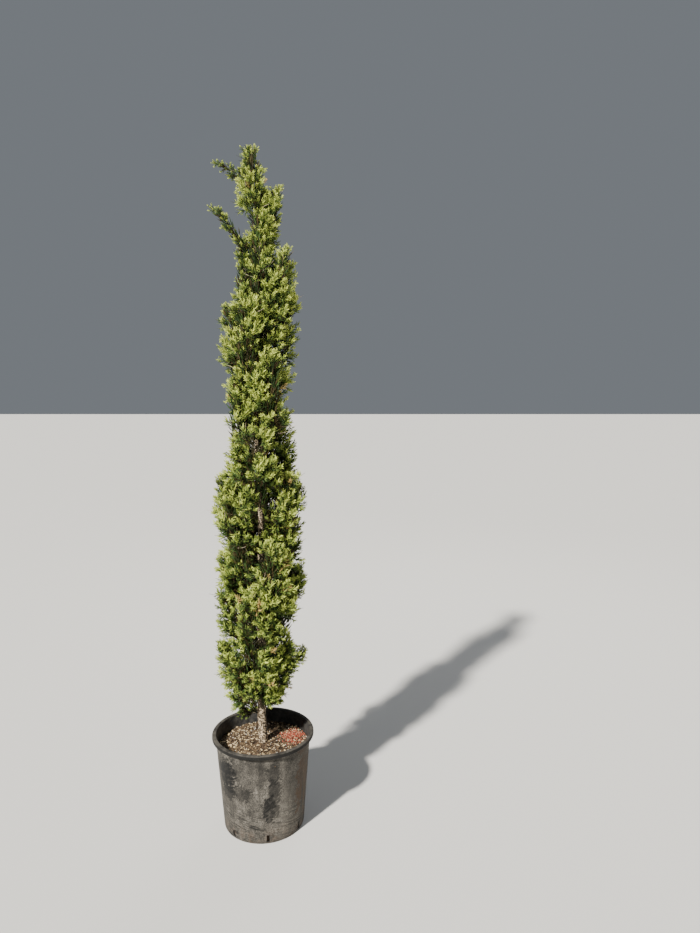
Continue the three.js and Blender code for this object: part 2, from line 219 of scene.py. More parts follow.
def end_fans(size, columns):
    """Three-cornered faces that close both ends of a shape of rings, each from the end ring to a
    centre point. The two centre points are numbered on from the shape's own size."""
    here = np.arange(columns)
    after = (here + 1) % columns
    last = size - columns
    foot = np.stack([np.full(columns, size), after, here], axis=-1)
    top = np.stack([np.full(columns, size + 1), last + here, last + after], axis=-1)
    return np.concatenate([foot, top])


slot_rows = np.linspace(slot_foot, slot_top, slot_row_count)
upper_rows = np.linspace(slot_top + slot_clearance, lip_foot - neck_clearance, wall_row_count)
wall_rows = np.concatenate([slot_rows, upper_rows])
outer_wall = np.stack([wall_radius(wall_rows), wall_rows], axis=1)
inner_wall = np.stack([wall_radius(wall_rows) - wall_thickness, wall_rows], axis=1)[::-1]
rim_middle = (lip_radius - lip_round - lip_swell, pot_height - lip_round - lip_swell)
pot_profile = np.concatenate([
    arc((wall_foot_radius - foot_round, foot_round), foot_round, -90, 0, foot_steps),
    outer_wall,
    arc((wall_top_radius + neck_round, lip_foot - neck_round), neck_round, 180, 90, 4),
    arc((lip_radius - lip_round, lip_foot + lip_round), lip_round, -90, 0, 6),
    arc(rim_middle, lip_round + lip_swell, 12, 90, 8),
    arc((wall_top_radius + lip_swell, pot_height - lip_round), lip_round, 90, 180, 6),
    [(wall_radius(pot_height - lip_round) - wall_thickness, lip_foot)],
    inner_wall,
    [(wall_radius(floor_thickness) - wall_thickness - neck_round, floor_thickness)],
])

inner_start = len(pot_profile) - 1 - len(wall_rows)
pot_angles = np.linspace(0, 2 * math.pi, pot_columns, endpoint=False)
slot_angles = first_slot_angle + np.arange(slot_count) * 2 * math.pi / slot_count
slot_turns = np.angle(np.exp(1j * (pot_angles[None] - slot_angles[:, None])))
slot_left = np.argmin(np.abs(slot_turns), axis=1)
slot_left = (slot_left - slot_columns // 2 - 1) % pot_columns
ring_angles = np.tile(pot_angles, (len(pot_profile), 1))
for left, angle in zip(slot_left, slot_angles):
    across = np.linspace(-0.5, 0.5, slot_columns + 1) * slot_width / wall_foot_radius
    columns = (left + np.arange(slot_columns + 1)) % pot_columns
    rise = np.clip((pot_profile[:, 1] - slot_foot) / (slot_top - slot_foot), 0, 1)
    splay = 1 + slot_splay * (0.5 - rise)
    ring_angles[:, columns] = angle + splay[:, None] * across[None, :]

pot_points = turned(pot_profile, ring_angles)
dents = np.minimum(layered(pot_points, dent_layers), 0)
fade = np.clip(pot_profile[:, 1] / dent_fade, 0, 1)[:, None, None]
pot_points[..., :2] *= 1 + fade * (dents * dent_depth / lip_radius)[..., None]
pot_faces = ring_faces(len(pot_profile), pot_columns)

slot_cells = (slot_left[:, None] + np.arange(slot_columns)[None]).ravel() % pot_columns
open_rows = len(slot_rows) - 1
kept = np.ones(pot_faces.shape[:2], bool)
kept[np.ix_(foot_steps + np.arange(open_rows), slot_cells)] = False
kept[np.ix_(inner_start + len(wall_rows) - 2 - np.arange(open_rows), slot_cells)] = False


def slot_rim(left):
    """The cut edge of one drain slot: faces that join the outer wall's opening to the inner one."""
    columns = (left + np.arange(slot_columns + 1)) % pot_columns
    rows = np.arange(open_rows + 1)
    path = [(0, column) for column in columns]
    path += [(row, columns[-1]) for row in rows[1:]]
    path += [(open_rows, column) for column in columns[-2::-1]]
    path += [(row, columns[0]) for row in rows[-2:0:-1]]
    row, column = np.array(path).T
    outer = (foot_steps + row) * pot_columns + column
    inner = (inner_start + len(wall_rows) - 1 - row) * pot_columns + column
    return np.stack([np.roll(outer, -1), outer, inner, np.roll(inner, -1)], axis=1)


rim_faces = np.concatenate([slot_rim(left) for left in slot_left])
pot_points = np.concatenate([pot_points.reshape(-1, 3), [(0, 0, 0), (0, 0, floor_thickness)]])
pot_caps = end_fans(len(pot_profile) * pot_columns, pot_columns)


class Pattern:
    """The nodes of one finish, read from the piece's own coordinates."""

    def __init__(self, *finish):
        self.material = new_material(*finish)
        self.tree = self.material.node_tree
        self.shader = self.tree.nodes["Principled BSDF"].inputs
        self.place = self.node("ShaderNodeTexCoord").outputs["Object"]

    def set(self, socket, value):
        """Gives a socket a value, or links it to another node's output."""
        if isinstance(value, bpy.types.NodeSocket):
            self.tree.links.new(value, socket)
        else:
            socket.default_value = value

    def node(self, kind, *values, **named):
        """A node with its sockets set in their order and by name."""
        made = self.tree.nodes.new(kind)
        for key, value in [*enumerate(values), *named.items()]:
            self.set(made.inputs[key], value)
        return made

    def mapped(self, **named):
        """The piece's coordinates about a place of their own, turned and then scaled."""
        made = self.node("ShaderNodeMapping", self.place, **named)
        made.vector_type = "TEXTURE"
        return made.outputs["Vector"]

    def height(self):
        """The height over the floor."""
        return self.node("ShaderNodeSeparateXYZ", self.place).outputs["Z"]

    def noise(self, waves, detail=3.0, roughness=0.6, turn=0.0):
        """Noise of so many waves to the metre. With one number for each axis it is turned about the
        level axis Y, and drawn out along the axes with fewer waves."""
        place = self.place
        if isinstance(waves, tuple):
            size = [1 / share for share in waves]
            place, waves = self.mapped(Rotation=(0.0, turn, 0.0), Scale=size), 1.0
        named = {"Vector": place, "Scale": waves, "Detail": detail, "Roughness": roughness}
        return self.node("ShaderNodeTexNoise", **named).outputs["Fac"]

    def range(self, *ends):
        """A value mapped from one range to another, or else to 0 to 1, and held at its ends."""
        return self.node("ShaderNodeMapRange", *ends).outputs["Result"]

    def math(self, operation, first, *others):
        """Values joined one after the other by an operation."""
        for other in others:
            made = self.node("ShaderNodeMath", first, other)
            made.operation = operation
            first = made.outputs["Value"]
        return first

    def times(self, *values):
        return self.math("MULTIPLY", *values)

    def sum(self, *parts):
        """A sum of values, each times its weight."""
        return self.math("ADD", *[self.times(*part) for part in parts])

    def less(self, value, share):
        """What is left of a value when a share of it is taken away."""
        return self.times(value, self.math("SUBTRACT", 1.0, share))

    def mix(self, share, *tones):
        """Two colours blended by a share from 0 to 1."""
        made = self.node("ShaderNodeMix", share)
        made.data_type = "RGBA"
        for socket, tone in zip((made.inputs[6], made.inputs[7]), tones):
            self.set(socket, (*tone, 1) if isinstance(tone, tuple) else tone)
        return made.outputs[2]

    def patch(self, centre, size, edge):
        """One patch of its own size round a point, from 0 outside to 1 inside. Noise added to the
        distance from the point makes its edge ragged and breaks up its inside."""
        length = self.node("ShaderNodeVectorMath", self.mapped(Location=centre, Scale=size))
        length.operation = "LENGTH"
        ragged = self.math("ADD", length.outputs["Value"], self.times(edge, patch_rag))
        return self.range(ragged, patch_edge, patch_heart)

    def finish(self, colour, relief=None, depth=0.0):
        """Sets the colour, and a relief of a depth in metres if any, and returns the material."""
        self.set(self.shader["Base Color"], colour)
        if relief is not None:
            bump = self.node("ShaderNodeBump", Height=relief, Strength=1.0, Distance=depth)
            self.set(self.shader["Normal"], bump.outputs["Normal"])
        return self.material


# Where the dust is worn off: centre, half size and share taken
worn_patches = (
    ((0.054, -0.168, 0.285), (0.024, 0.080, 0.058), 0.55),
    ((0.060, -0.166, 0.215), (0.026, 0.080, 0.050), 0.66),
    ((0.044, -0.160, 0.145), (0.030, 0.080, 0.056), 0.92),
    ((-0.123, -0.120, 0.262), (0.046, 0.056, 0.066), 1.00),
    ((-0.118, -0.122, 0.190), (0.030, 0.050, 0.034), 0.72),
    ((-0.066, -0.150, 0.205), (0.046, 0.070, 0.034), 0.62),
    ((-0.034, -0.160, 0.285), (0.080, 0.090, 0.070), 0.34),
    ((-0.120, 0.120, 0.190), (0.060, 0.060, 0.070), 0.80),
    ((0.110, 0.135, 0.230), (0.070, 0.060, 0.060), 0.75),
)


def dusty_plastic():
    """Dark plastic under a pale film of dust. The film is a product of noises. It is worn off in
    patches and by scratches low on the wall, and is thicker in fine wipes and on a patch of clay.
    From a little under the lip it thins to a tenth, which paints shade on the wall under the lip
    and leaves the lip nearly bare, and a thin pale line of it along the lip's top edge is a painted
    highlight. Mud is splashed up the foot and has run down on the right."""
    plastic, dust, mud = (0.008, 0.008, 0.008), (0.213, 0.194, 0.166), (0.105, 0.064, 0.040)
    pattern = Pattern("dusty_plastic", plastic, 0.6, 0.10)
    height = pattern.height()
    broad = pattern.noise(8.0)
    ragged = pattern.noise(34.0, 6.0, 0.72)
    speckle = pattern.noise(240.0, 3.0, 0.7)
    fibrous = pattern.noise((52.0, 90.0, 190.0), 4.0, 0.7, turn=-0.75)
    streaks = pattern.noise((42.0, 42.0, 2.0), 4.0, 0.65)
    scratches = pattern.noise((14.0, 14.0, 260.0), turn=0.26)
    wipes = pattern.noise((34.0, 34.0, 150.0), 4.0, 0.7, turn=-0.7)

    # Each noise of the film, the range that it is read over, and the film at that range's ends
    film_layers = (
        (broad, 0.32, 0.62, 0.30, 0.52),
        (streaks, 0.30, 0.70, 0.62, 1.22),
        (ragged, 0.35, 0.65, 0.52, 1.38),
        (speckle, 0.36, 0.64, 0.38, 1.50),
    )
    film = pattern.times(*[pattern.range(*layer) for layer in film_layers])
    frayed = pattern.sum((ragged, 0.45), (fibrous, 0.55))
    for centre, size, taken in worn_patches:
        film = pattern.less(film, pattern.times(pattern.patch(centre, size, frayed), taken))
    scratched_foot = pattern.range(height, 0.145, 0.115, 0.0, 0.80)
    film = pattern.less(film, pattern.times(pattern.range(scratches, 0.545, 0.585), scratched_foot))
    film = pattern.math("MAXIMUM", film, pattern.range(wipes, 0.52, 0.66, 0.0, 0.15))
    clay = pattern.patch((0.105, -0.120, 0.110), (0.062, 0.070, 0.120), ragged)
    film = pattern.math("ADD", film, pattern.times(clay, 0.16))
    # Painted shade: the film thins to a tenth from just under the lip up onto it, darkening a band
    # of wall under the lip.
    film = pattern.times(film, pattern.range(height, 0.3485, 0.3560, 1.0, 0.10))
    # Painted highlight: a thin pale line of dust film along the lip's top outer edge.
    lip_edge_highlight = pattern.range(height, 0.3660, 0.3695, 0.0, 0.34)
    lip_edge_highlight = pattern.times(lip_edge_highlight, pattern.range(ragged, 0.30, 0.60))
    film = pattern.math("MAXIMUM", film, lip_edge_highlight)

    splash = pattern.times(pattern.range(height, 0.085, 0.0), pattern.range(ragged, 0.46, 0.60))
    stain = pattern.patch((0.160, -0.070, 0.215), (0.030, 0.060, 0.160), ragged)
    stain = pattern.times(stain, pattern.range(streaks, 0.40, 0.58))
    muddy = pattern.math("MAXIMUM", pattern.times(splash, 0.40), pattern.times(stain, 0.62))
    colour = pattern.mix(muddy, pattern.mix(film, plastic, dust), mud)
    pattern.set(pattern.shader["Roughness"], pattern.range(film, 0.0, 0.5, 0.50, 0.90))
    return pattern.finish(colour, pattern.sum((speckle, 0.35), (scratches, 0.35)), 0.0008)


def clean_plastic():
    """The plastic inside the pot, out of the dust: nearly black, with a thin even bloom."""
    pattern = Pattern("clean_plastic", (0.020, 0.020, 0.019), 0.5, 0.25)
    bloom = pattern.range(pattern.noise(60.0, 4.0, 0.65), 0.38, 0.66)
    return pattern.finish(pattern.mix(bloom, (0.022, 0.022, 0.022), (0.066, 0.063, 0.058)))


inside = np.arange(len(pot_profile) - 1) >= inner_start - inner_lip_rows
inside = np.broadcast_to(inside[:, None], kept.shape)[kept]
pot_slots = np.concatenate([inside, np.ones(len(rim_faces) + len(pot_caps))])
pot_finishes = [dusty_plastic(), clean_plastic()]
pot_faces = [pot_faces[kept], rim_faces, pot_caps]
pot = add_piece("pot_shell", pot_points, pot_faces, pot_finishes, pot_slots)
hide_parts("pot")
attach(pot, "root")


# Soil: potting mix to a little under the lip, topped with bark chips, flecks of pale perlite and a
# heap of reddish slow-release granules that was poured down on the right and has partly spread.

soil_level, soil_edge_drop, soil_crown_radius = 0.325, 0.009, 0.045
soil_rings, centre_share = 56, 0.012
wall_clearance = 0.0003
lump_height = 0.0042
lump_layers = ((0.021, 1.0, 5.5), (0.0085, 0.5, 2.2), (0.0036, 0.3, 9.1))


def soil_height(across, back):
    """Level round the trunk and falling evenly to the wall, with lumps of three sizes of noise."""
    radius = np.hypot(across, back)
    edge = wall_radius(soil_level) - wall_thickness
    fall = soil_edge_drop * np.clip((radius - soil_crown_radius) / (edge - soil_crown_radius), 0, 1)
    place = np.stack([across, back, np.zeros_like(across)], axis=-1)
    return soil_level - fall + lump_height * layered(place, lump_layers)


def soil_surface():
    """The filled pot's contents: a turned plug whose upper rings follow the lumpy surface."""
    foot = floor_thickness + wall_clearance
    inside = wall_radius(soil_level - soil_edge_drop) - wall_thickness - wall_clearance
    side = [(wall_radius(foot) - wall_thickness - wall_clearance, foot)]
    radii = inside * np.linspace(1, centre_share, soil_rings)
    top = np.stack([radii, np.full(soil_rings, soil_level)], axis=1)
    points = turned(np.concatenate([side, top]), pot_angles)
    points[1:, :, 2] = soil_height(points[1:, :, 0], points[1:, :, 1])
    faces = ring_faces(soil_rings + 1, pot_columns).reshape(-1, 4)
    points = points.reshape(-1, 3)
    ends = np.array([(0, 0, foot), (0, 0, soil_height(np.zeros(1), np.zeros(1))[0])])
    return np.concatenate([points, ends]), [faces, end_fans(len(points), pot_columns)]


def mixed_earth(name, dark, pale, waves, grain):
    """An earthy finish: two tones blended by noise, with fine grain in its colour and its relief,
    and darker towards the bottom, nearly black from 0.30 m down to 0.06 m, deep down in the pot."""
    pattern = Pattern(name, pale, 0.95, 0.2)
    broad, fine = pattern.noise(waves, 4.0), pattern.noise(grain, 3.0, 0.65)
    share = pattern.range(pattern.sum((broad, 0.55), (fine, 0.45)), 0.38, 0.62)
    # Darker towards the bottom of the pot.
    low_darkening = pattern.range(pattern.height(), 0.06, 0.30, 0.85, 0.0)
    colour = pattern.mix(low_darkening, pattern.mix(share, dark, pale), (0.016, 0.011, 0.008))
    return pattern.finish(colour, fine, 0.0010)


earth = mixed_earth("potting_mix", (0.024, 0.015, 0.009), (0.140, 0.094, 0.058), 110.0, 420.0)
soil = add_piece("soil_surface", *soil_surface(), [earth])
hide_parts("soil")
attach(soil, "root")

trunk_clearance, edge_clearance = 0.018, 0.006
soil_rng = np.random.default_rng(41)


def turns(count, lean):
    """Turning matrices: any turn about the upright axis after a small lean about a level one."""
    spin, tip = soil_rng.uniform(0, 2 * math.pi, count), soil_rng.normal(0, lean, count)
    roll = soil_rng.uniform(0, 2 * math.pi, count)
    skew, spun = np.zeros((2, count, 3, 3))
    skew[:, 0, 2], skew[:, 2, 0] = np.sin(roll), -np.sin(roll)
    skew[:, 1, 2], skew[:, 2, 1] = -np.cos(roll), np.cos(roll)
    tip = tip[:, None, None]
    leaning = np.eye(3) + np.sin(tip) * skew + (1 - np.cos(tip)) * (skew @ skew)
    spun[:, 0, 0], spun[:, 0, 1] = np.cos(spin), -np.sin(spin)
    spun[:, 1, 0], spun[:, 1, 1] = np.sin(spin), np.cos(spin)
    spun[:, 2, 2] = 1
    return leaning @ spun


def on_soil(count, lift):
    """Places spread evenly over the soil, clear of the trunk and the wall."""
    furthest = wall_radius(soil_level) - edge_clearance
    radius = np.sqrt(soil_rng.uniform(trunk_clearance ** 2, furthest ** 2, count))
    angle = soil_rng.uniform(0, 2 * math.pi, count)
    across, back = radius * np.cos(angle), radius * np.sin(angle)
    return np.stack([across, back, soil_height(across, back) + lift], axis=1)


def copied(faces, copies, corners):
    """The faces of copies of one shape, with its number of corners between copy and copy."""
    return faces + np.arange(copies)[:, None, None] * corners


def strewn(name, shape, places, sizes, lean, ragged, finishes, shares=None, smooth=False):
    """A piece of many copies of one small shape: each is scaled, made ragged by noise, turned and
    moved into place. Where there is more than one finish, each has its share of the copies."""
    points, faces = shape
    count = len(places)
    matrices = turns(count, lean)
    copies = points * (1 + soil_rng.uniform(-ragged, ragged, (count, len(points), 3)))
    copies = np.einsum("nij,nkj->nki", matrices, copies * sizes[:, None]) + places[:, None]
    all_faces = copied(faces, count, len(points)).reshape(-1, faces.shape[1])
    slots = shares and np.repeat(soil_rng.choice(len(shares), count, p=shares), len(faces))
    return add_piece(name, copies.reshape(-1, 3), [all_faces], finishes, slots, smooth)


box = (
    np.array([(x, y, z) for z in (-0.5, 0.5) for y in (-0.5, 0.5) for x in (-0.5, 0.5)]),
    np.array([(0, 2, 3, 1), (4, 5, 7, 6), (0, 1, 5, 4), (2, 6, 7, 3), (0, 4, 6, 2), (1, 3, 7, 5)]),
)
golden = (1 + math.sqrt(5)) / 2
ball_corners = np.array([
    (-1, golden, 0), (1, golden, 0), (-1, -golden, 0), (1, -golden, 0),
    (0, -1, golden), (0, 1, golden), (0, -1, -golden), (0, 1, -golden),
    (golden, 0, -1), (golden, 0, 1), (-golden, 0, -1), (-golden, 0, 1),
])
ball = (ball_corners / (2 * math.hypot(1, golden)), np.array([
    (0, 11, 5), (0, 5, 1), (0, 1, 7), (0, 7, 10), (0, 10, 11), (1, 5, 9), (5, 11, 4), (11, 10, 2),
    (10, 7, 6), (7, 1, 8), (3, 9, 4), (3, 4, 2), (3, 2, 6), (3, 6, 8), (3, 8, 9), (4, 9, 5),
    (2, 4, 11), (6, 2, 10), (8, 6, 7), (9, 8, 1),
]))

# Bark chips: how many, and their shortest and longest length, width and thickness
chip_count = 2300
chip_ranges = ((0.0035, 0.0125), (0.0020, 0.0056), (0.001, 0.0028))
chip_sizes = np.stack([soil_rng.uniform(*ends, chip_count) for ends in chip_ranges], axis=1)
chip_tones = [mixed_earth(*tones, 160.0, 900.0) for tones in (
    ("dark_bark_chip", (0.016, 0.011, 0.007), (0.056, 0.036, 0.021)),
    ("brown_bark_chip", (0.070, 0.045, 0.025), (0.190, 0.130, 0.074)),
    ("pale_bark_chip", (0.330, 0.240, 0.130), (0.720, 0.570, 0.350)),
)]
chip_places = on_soil(chip_count, 0.0006)
chip_shares = (0.44, 0.38, 0.18)
chips = strewn("bark_chips", box, chip_places, chip_sizes, 0.36, 0.28, chip_tones, chip_shares)
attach(chips, "root")

fleck_count = 240
fleck_sizes = soil_rng.uniform(0.0020, 0.0046, (fleck_count, 1))
fleck_sizes = fleck_sizes * soil_rng.uniform(0.7, 1.2, (fleck_count, 3))
fleck_places = on_soil(fleck_count, 0.0012)
perlite = mixed_earth("perlite", (0.42, 0.38, 0.31), (0.72, 0.68, 0.60), 300.0, 1500.0)
flecks = strewn("perlite_flecks", ball, fleck_places, fleck_sizes, 1.2, 0.22, [perlite])
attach(flecks, "root")

granule_count, granule_lift = 420, 0.0018
heap_middle, heap_spread = np.array((0.112, 0.045)), np.array((0.024, 0.030))
heap_rise, heap_margin = 0.007, 0.009
heap_spot = heap_middle + soil_rng.normal(0, 1, (granule_count, 2)) * heap_spread
heap_reach = wall_radius(soil_level) - heap_margin
heap_spot *= np.minimum(1, heap_reach / np.hypot(*heap_spot.T))[:, None]
heap_depth = np.exp(-0.5 * np.sum(((heap_spot - heap_middle) / heap_spread) ** 2, axis=1))
heap_depth = heap_rise * heap_depth * soil_rng.uniform(0, 1, granule_count)
heap_level = soil_height(*heap_spot.T) + granule_lift + heap_depth
granule_places = np.column_stack([heap_spot, heap_level])
granule_sizes = soil_rng.uniform(0.0030, 0.0046, (granule_count, 1))
granule_tones = [mixed_earth(*tones, 400.0, 1600.0) for tones in (
    ("red_granule", (0.270, 0.056, 0.032), (0.480, 0.118, 0.072)),
    ("pale_granule", (0.400, 0.180, 0.110), (0.580, 0.330, 0.220)),
)]
granules = strewn(
    "feed_granules", ball, granule_places, granule_sizes, 1.2, 0.06, granule_tones, (0.82, 0.18),
    smooth=True,
)
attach(granules, "root")


# Trunk: one straight young stem from the soil to the tip, with thin grey-tan bark that is furrowed
# lengthwise, ringed with short dark scars and a little swollen where each bough leaves it.

tree_top = 2.524
trunk_foot = soil_level + 0.0003
trunk_ends, trunk_radii, trunk_taper = (trunk_foot, tree_top), (0.0014, 0.0156), 0.95
flare_radius, flare_height = 0.0032, 0.026
trunk_columns, trunk_rings, ring_crowding = 36, 420, 1.3
furrow_depth, furrow_draw = 0.055, 0.13
scar_count, scar_depth, scar_zone, scar_crowding = 46, 0.0007, 0.75, 1.4
scar_thinnest, scar_range, scar_sharpness, scar_cut = 0.0012, 0.0016, 2.2, 1.2
fibre_strength, grain_strength, furrow_middle = 0.6, 0.25, 0.92
bend_heights = (0.325, 0.470, 0.850, 1.230, 1.500, 1.950, 2.370, 2.524)
bend_across = (0.000, -0.005, 0.000, 0.003, -0.006, 0.002, 0.006, -0.006)
bend_back = (0.000, 0.002, -0.003, 0.002, 0.000, -0.003, 0.001, 0.000)


def eased(height, heights, values):
    """A value read off a list of heights, with an eased share from each height to the next."""
    heights, values = np.array(heights), np.array(values)
    above = np.clip(np.searchsorted(heights, height), 1, len(heights) - 1)
    share = np.clip((height - heights[above - 1]) / (heights[above] - heights[above - 1]), 0, 1)
    return between((values[above - 1], values[above]), ease(share))


def trunk_axis(height):
    """The middle of the trunk, which bends a little from one height of the list to the next."""
    height = np.asarray(height, float)
    across = eased(height, bend_heights, bend_across)
    back = eased(height, bend_heights, bend_back)
    return np.stack([across, back, height], axis=-1)


def trunk_radius(height):
    """A taper that is nearly even, and a flare that dies away above the soil."""
    height = np.asarray(height, float)
    share = np.clip((height - trunk_foot) / (tree_top - trunk_foot), 0, 1)
    taper = between(trunk_radii, (1 - share) ** trunk_taper)
    return taper + flare_radius * np.exp(-(height - trunk_foot) / flare_height)


def level(azimuth):
    """Level directions at azimuths: the cosine across and the sine back."""
    return np.stack([np.cos(azimuth), np.sin(azimuth), 0 * azimuth], axis=-1)


def furrows(points):
    """Bark relief: noise drawn out eight times along the trunk, with finer noise over it."""
    drawn = points * np.array([1, 1, furrow_draw])
    coarse = cloud(drawn, 0.0052, 4.0) + fibre_strength * cloud(drawn, 0.0026, 7.0)
    return coarse + grain_strength * cloud(points, 0.0022, 1.0) - furrow_middle


def scars(angle, height):
    """Shallow dents across the trunk, closer together low down: each is a bell in height and
    reaches part of the way round."""
    total = np.zeros(np.broadcast(angle, height).shape)
    for number in range(scar_count):
        middle_height = trunk_foot + scar_zone * chance(number + 0.37) ** scar_crowding
        middle = 2 * math.pi * chance(number + 0.71)
        thick = scar_thinnest + scar_range * chance(number + 0.53)
        around = np.cos(angle - middle) * scar_sharpness - scar_cut
        total += np.exp(-((height - middle_height) / thick) ** 2) * np.clip(around, 0, 1)
    return total


def young_bark():
    """Grey-tan bark: pale nodules among dark hollows, fibres lengthwise and dark cracks across. The
    dark of the hollows follows the relief, and is partly the bark's own colour and partly painted
    shade.
    """
    hollow_and_shade, nodule, crack = (0.026, 0.019, 0.012), (0.760, 0.595, 0.405), (0.034, 0.026, 0.018)
    pattern = Pattern("young_bark", (0.26, 0.20, 0.15), 0.88, 0.25)
    fibres = pattern.noise((260.0, 260.0, 40.0), 4.0, 0.65)
    nodules = pattern.noise((150.0, 150.0, 190.0))
    share = pattern.sum((fibres, 0.35), (nodules, 0.65))
    dark = pattern.range(pattern.noise((70.0, 70.0, 260.0)), 0.56, 0.64, 0.0, 0.85)
    # The colour darkens with the relief's hollows: partly the bark's own darker hollows, partly
    # painted shade.
    colour = pattern.mix(pattern.range(share, 0.465, 0.585), hollow_and_shade, nodule)
    relief = pattern.math("SUBTRACT", share, pattern.times(dark, 0.5))
    return pattern.finish(pattern.mix(dark, colour, crack), relief, 0.0020)


# The crown's outline: heights, half widths, and shifts to the right
crown_heights = (
    0.440, 0.560, 0.670, 0.800, 0.960, 1.120, 1.240,
    1.400, 1.640, 1.850, 2.030, 2.240, 2.400, 2.524,
)
crown_half = (
    0.060, 0.118, 0.152, 0.138, 0.166, 0.146, 0.166,
    0.148, 0.118, 0.124, 0.116, 0.066, 0.070, 0.012,
)
crown_shift = (
    -0.010, -0.022, -0.008, -0.018, -0.004, 0.002, -0.004,
    0.001, 0.018, 0.024, 0.032, 0.014, 0.000, -0.004,
)
ruled_plumes, seed_step = 18, 100
golden_angle = math.pi * (3 - math.sqrt(5))
first_azimuth = math.radians(-112)
joint_heights, joint_crowding = (0.452, 1.960), 1.16
plume_rises = (0.500, 0.430)
ruled_sprays = 14
tip_share, bulge_share, shoulder_share = 0.8, 0.61, 0.6
shoulder_rise, bulge_rise = 0.2, 0.6
plume_swirl = math.radians(16)
full_plume_half = 0.138
bough_share, bough_thickest, bough_foot_share = 0.42, 0.0065, 0.5
stem_tip_radius = 0.0011
slight_rise = 0.265
collar_height, collar_width = 0.28, 1.5

# Shoots that stand out of the crown or fill its skirt: name, side in degrees, joint, tip, reach,
# sprays, spread and the size of their sprays
standing_shoots = (
    ("low_back", 166, 0.424, 0.486, 0.108, 8, 0.5, 0.62),
    ("low_front", -82, 0.448, 0.640, 0.092, 9, 0.66, 0.9),
    ("low_mid", -20, 0.462, 0.650, 0.088, 9, 0.6, 0.9),
    ("low_left", 198, 0.440, 0.745, 0.158, 13, 0.72, 1.0),
    ("low_right", 8, 0.478, 0.690, 0.166, 9, 0.5, 0.7),
    ("left_tuft", 176, 0.880, 1.365, 0.146, 14, 0.9, 1.0),
    ("right_tuft", 2, 0.830, 1.325, 0.144, 14, 0.9, 1.0),
    ("left_spur", 163, 1.600, 1.985, 0.132, 12, 0.7, 1.0),
    ("right_spur", -30, 1.790, 2.170, 0.136, 13, 0.66, 1.0),
    ("left_arm", 206, 2.066, 2.306, 0.170, 10, 0.4, 0.6),
    ("right_arm", 8, 2.130, 2.392, 0.084, 12, 0.6, 1.0),
    ("top_left", 178, 2.376, 2.472, 0.142, 8, 0.36, 0.55),
    ("leader", -90, 2.262, 2.522, 0.034, 14, 0.6, 0.9),
    ("low_rear", 92, 0.456, 0.668, 0.096, 8, 0.6, 0.9),
)


def crown_reach(azimuth, height):
    """How far the crown reaches from the trunk: half its width, shifted to one side."""
    half = eased(height, crown_heights, crown_half)
    return half + eased(height, crown_heights, crown_shift) * np.cos(azimuth)


class Plume:
    """One bough and the upright plume of foliage that it carries, on a curve through the pull of
    four points: out from the trunk, swelling, then upright. A standing shoot may leave the crown's
    outline, as far as its own reach."""

    def __init__(self, name, azimuth, joint, tip, reach, bulge, swirl, sprays, spread, size, seed):
        self.name, self.azimuth, self.joint, self.tip = name, azimuth, joint, tip
        self.sprays, self.spread, self.size, self.seed = sprays, spread, size, seed
        self.own_reach = reach if seed > seed_step * ruled_plumes else 0.0
        rise = tip - joint
        self.slight = rise < slight_rise
        pulls = (
            (0, joint, azimuth),
            (shoulder_share * bulge, joint + shoulder_rise * rise, azimuth),
            (bulge, joint + bulge_rise * rise, azimuth + swirl / 2),
            (reach, tip, azimuth + swirl),
        )
        self.pulls = np.array([
            trunk_axis(height) + out * np.array([math.cos(side), math.sin(side), 0])
            for out, height, side in pulls
        ])
        self.sideways = np.array([-math.sin(azimuth), math.cos(azimuth), 0])
        self.thick = min(bough_thickest, bough_share * float(trunk_radius(joint)))
        self.foot = max(bough_foot_share * self.thick, stem_tip_radius)

    def at(self, share):
        """Places at shares of the curve, with the directions of growth, sideways and outwards."""
        share = np.asarray(share, float)[:, None]
        rest = 1 - share
        a, b, c, d = self.pulls
        point = rest ** 3 * a + 3 * rest ** 2 * share * b
        point = point + 3 * rest * share ** 2 * c + share ** 3 * d
        growth = rest ** 2 * (b - a) + 2 * rest * share * (c - b) + share ** 2 * (d - c)
        growth /= np.linalg.norm(growth, axis=1, keepdims=True)
        out = np.cross(self.sideways, growth)
        out /= np.linalg.norm(out, axis=1, keepdims=True)
        return point, growth, np.cross(growth, out), out


def ruled_plume(index):
    """Plumes round the trunk by the golden angle, close together low down and wider apart above."""
    share = index / (ruled_plumes - 1)
    azimuth = first_azimuth + index * golden_angle
    joint = between(joint_heights, share ** joint_crowding)
    tip = joint + plume_rises[0] + (plume_rises[1] - plume_rises[0]) * share
    swirl = plume_swirl * (2 * float(chance(index + 1)) - 1)
    middle = joint + bulge_rise * (tip - joint)
    reach = tip_share * crown_reach(azimuth, tip)
    bulge = bulge_share * crown_reach(azimuth, middle)
    spread = min(float(eased(middle, crown_heights, crown_half)) / full_plume_half, 1)
    name, seed = f"{index + 1:02d}", seed_step * (index + 1)
    return Plume(name, azimuth, joint, tip, reach, bulge, swirl, ruled_sprays, spread, 1.0, seed)


def standing_plume(index, shoot):
    """A shoot of the list, which swells no further than it reaches."""
    name, side, joint, tip, reach, sprays, spread, size = shoot
    azimuth = math.radians(side)
    middle = joint + bulge_rise * (tip - joint)
    bulge = min(bulge_share * crown_reach(azimuth, middle), reach)
    seed = seed_step * (ruled_plumes + index + 1)
    return Plume(name, azimuth, joint, tip, reach, bulge, 0.0, sprays, spread, size, seed)


plumes = [ruled_plume(index) for index in range(ruled_plumes)]
plumes += [standing_plume(index, shoot) for index, shoot in enumerate(standing_shoots)]


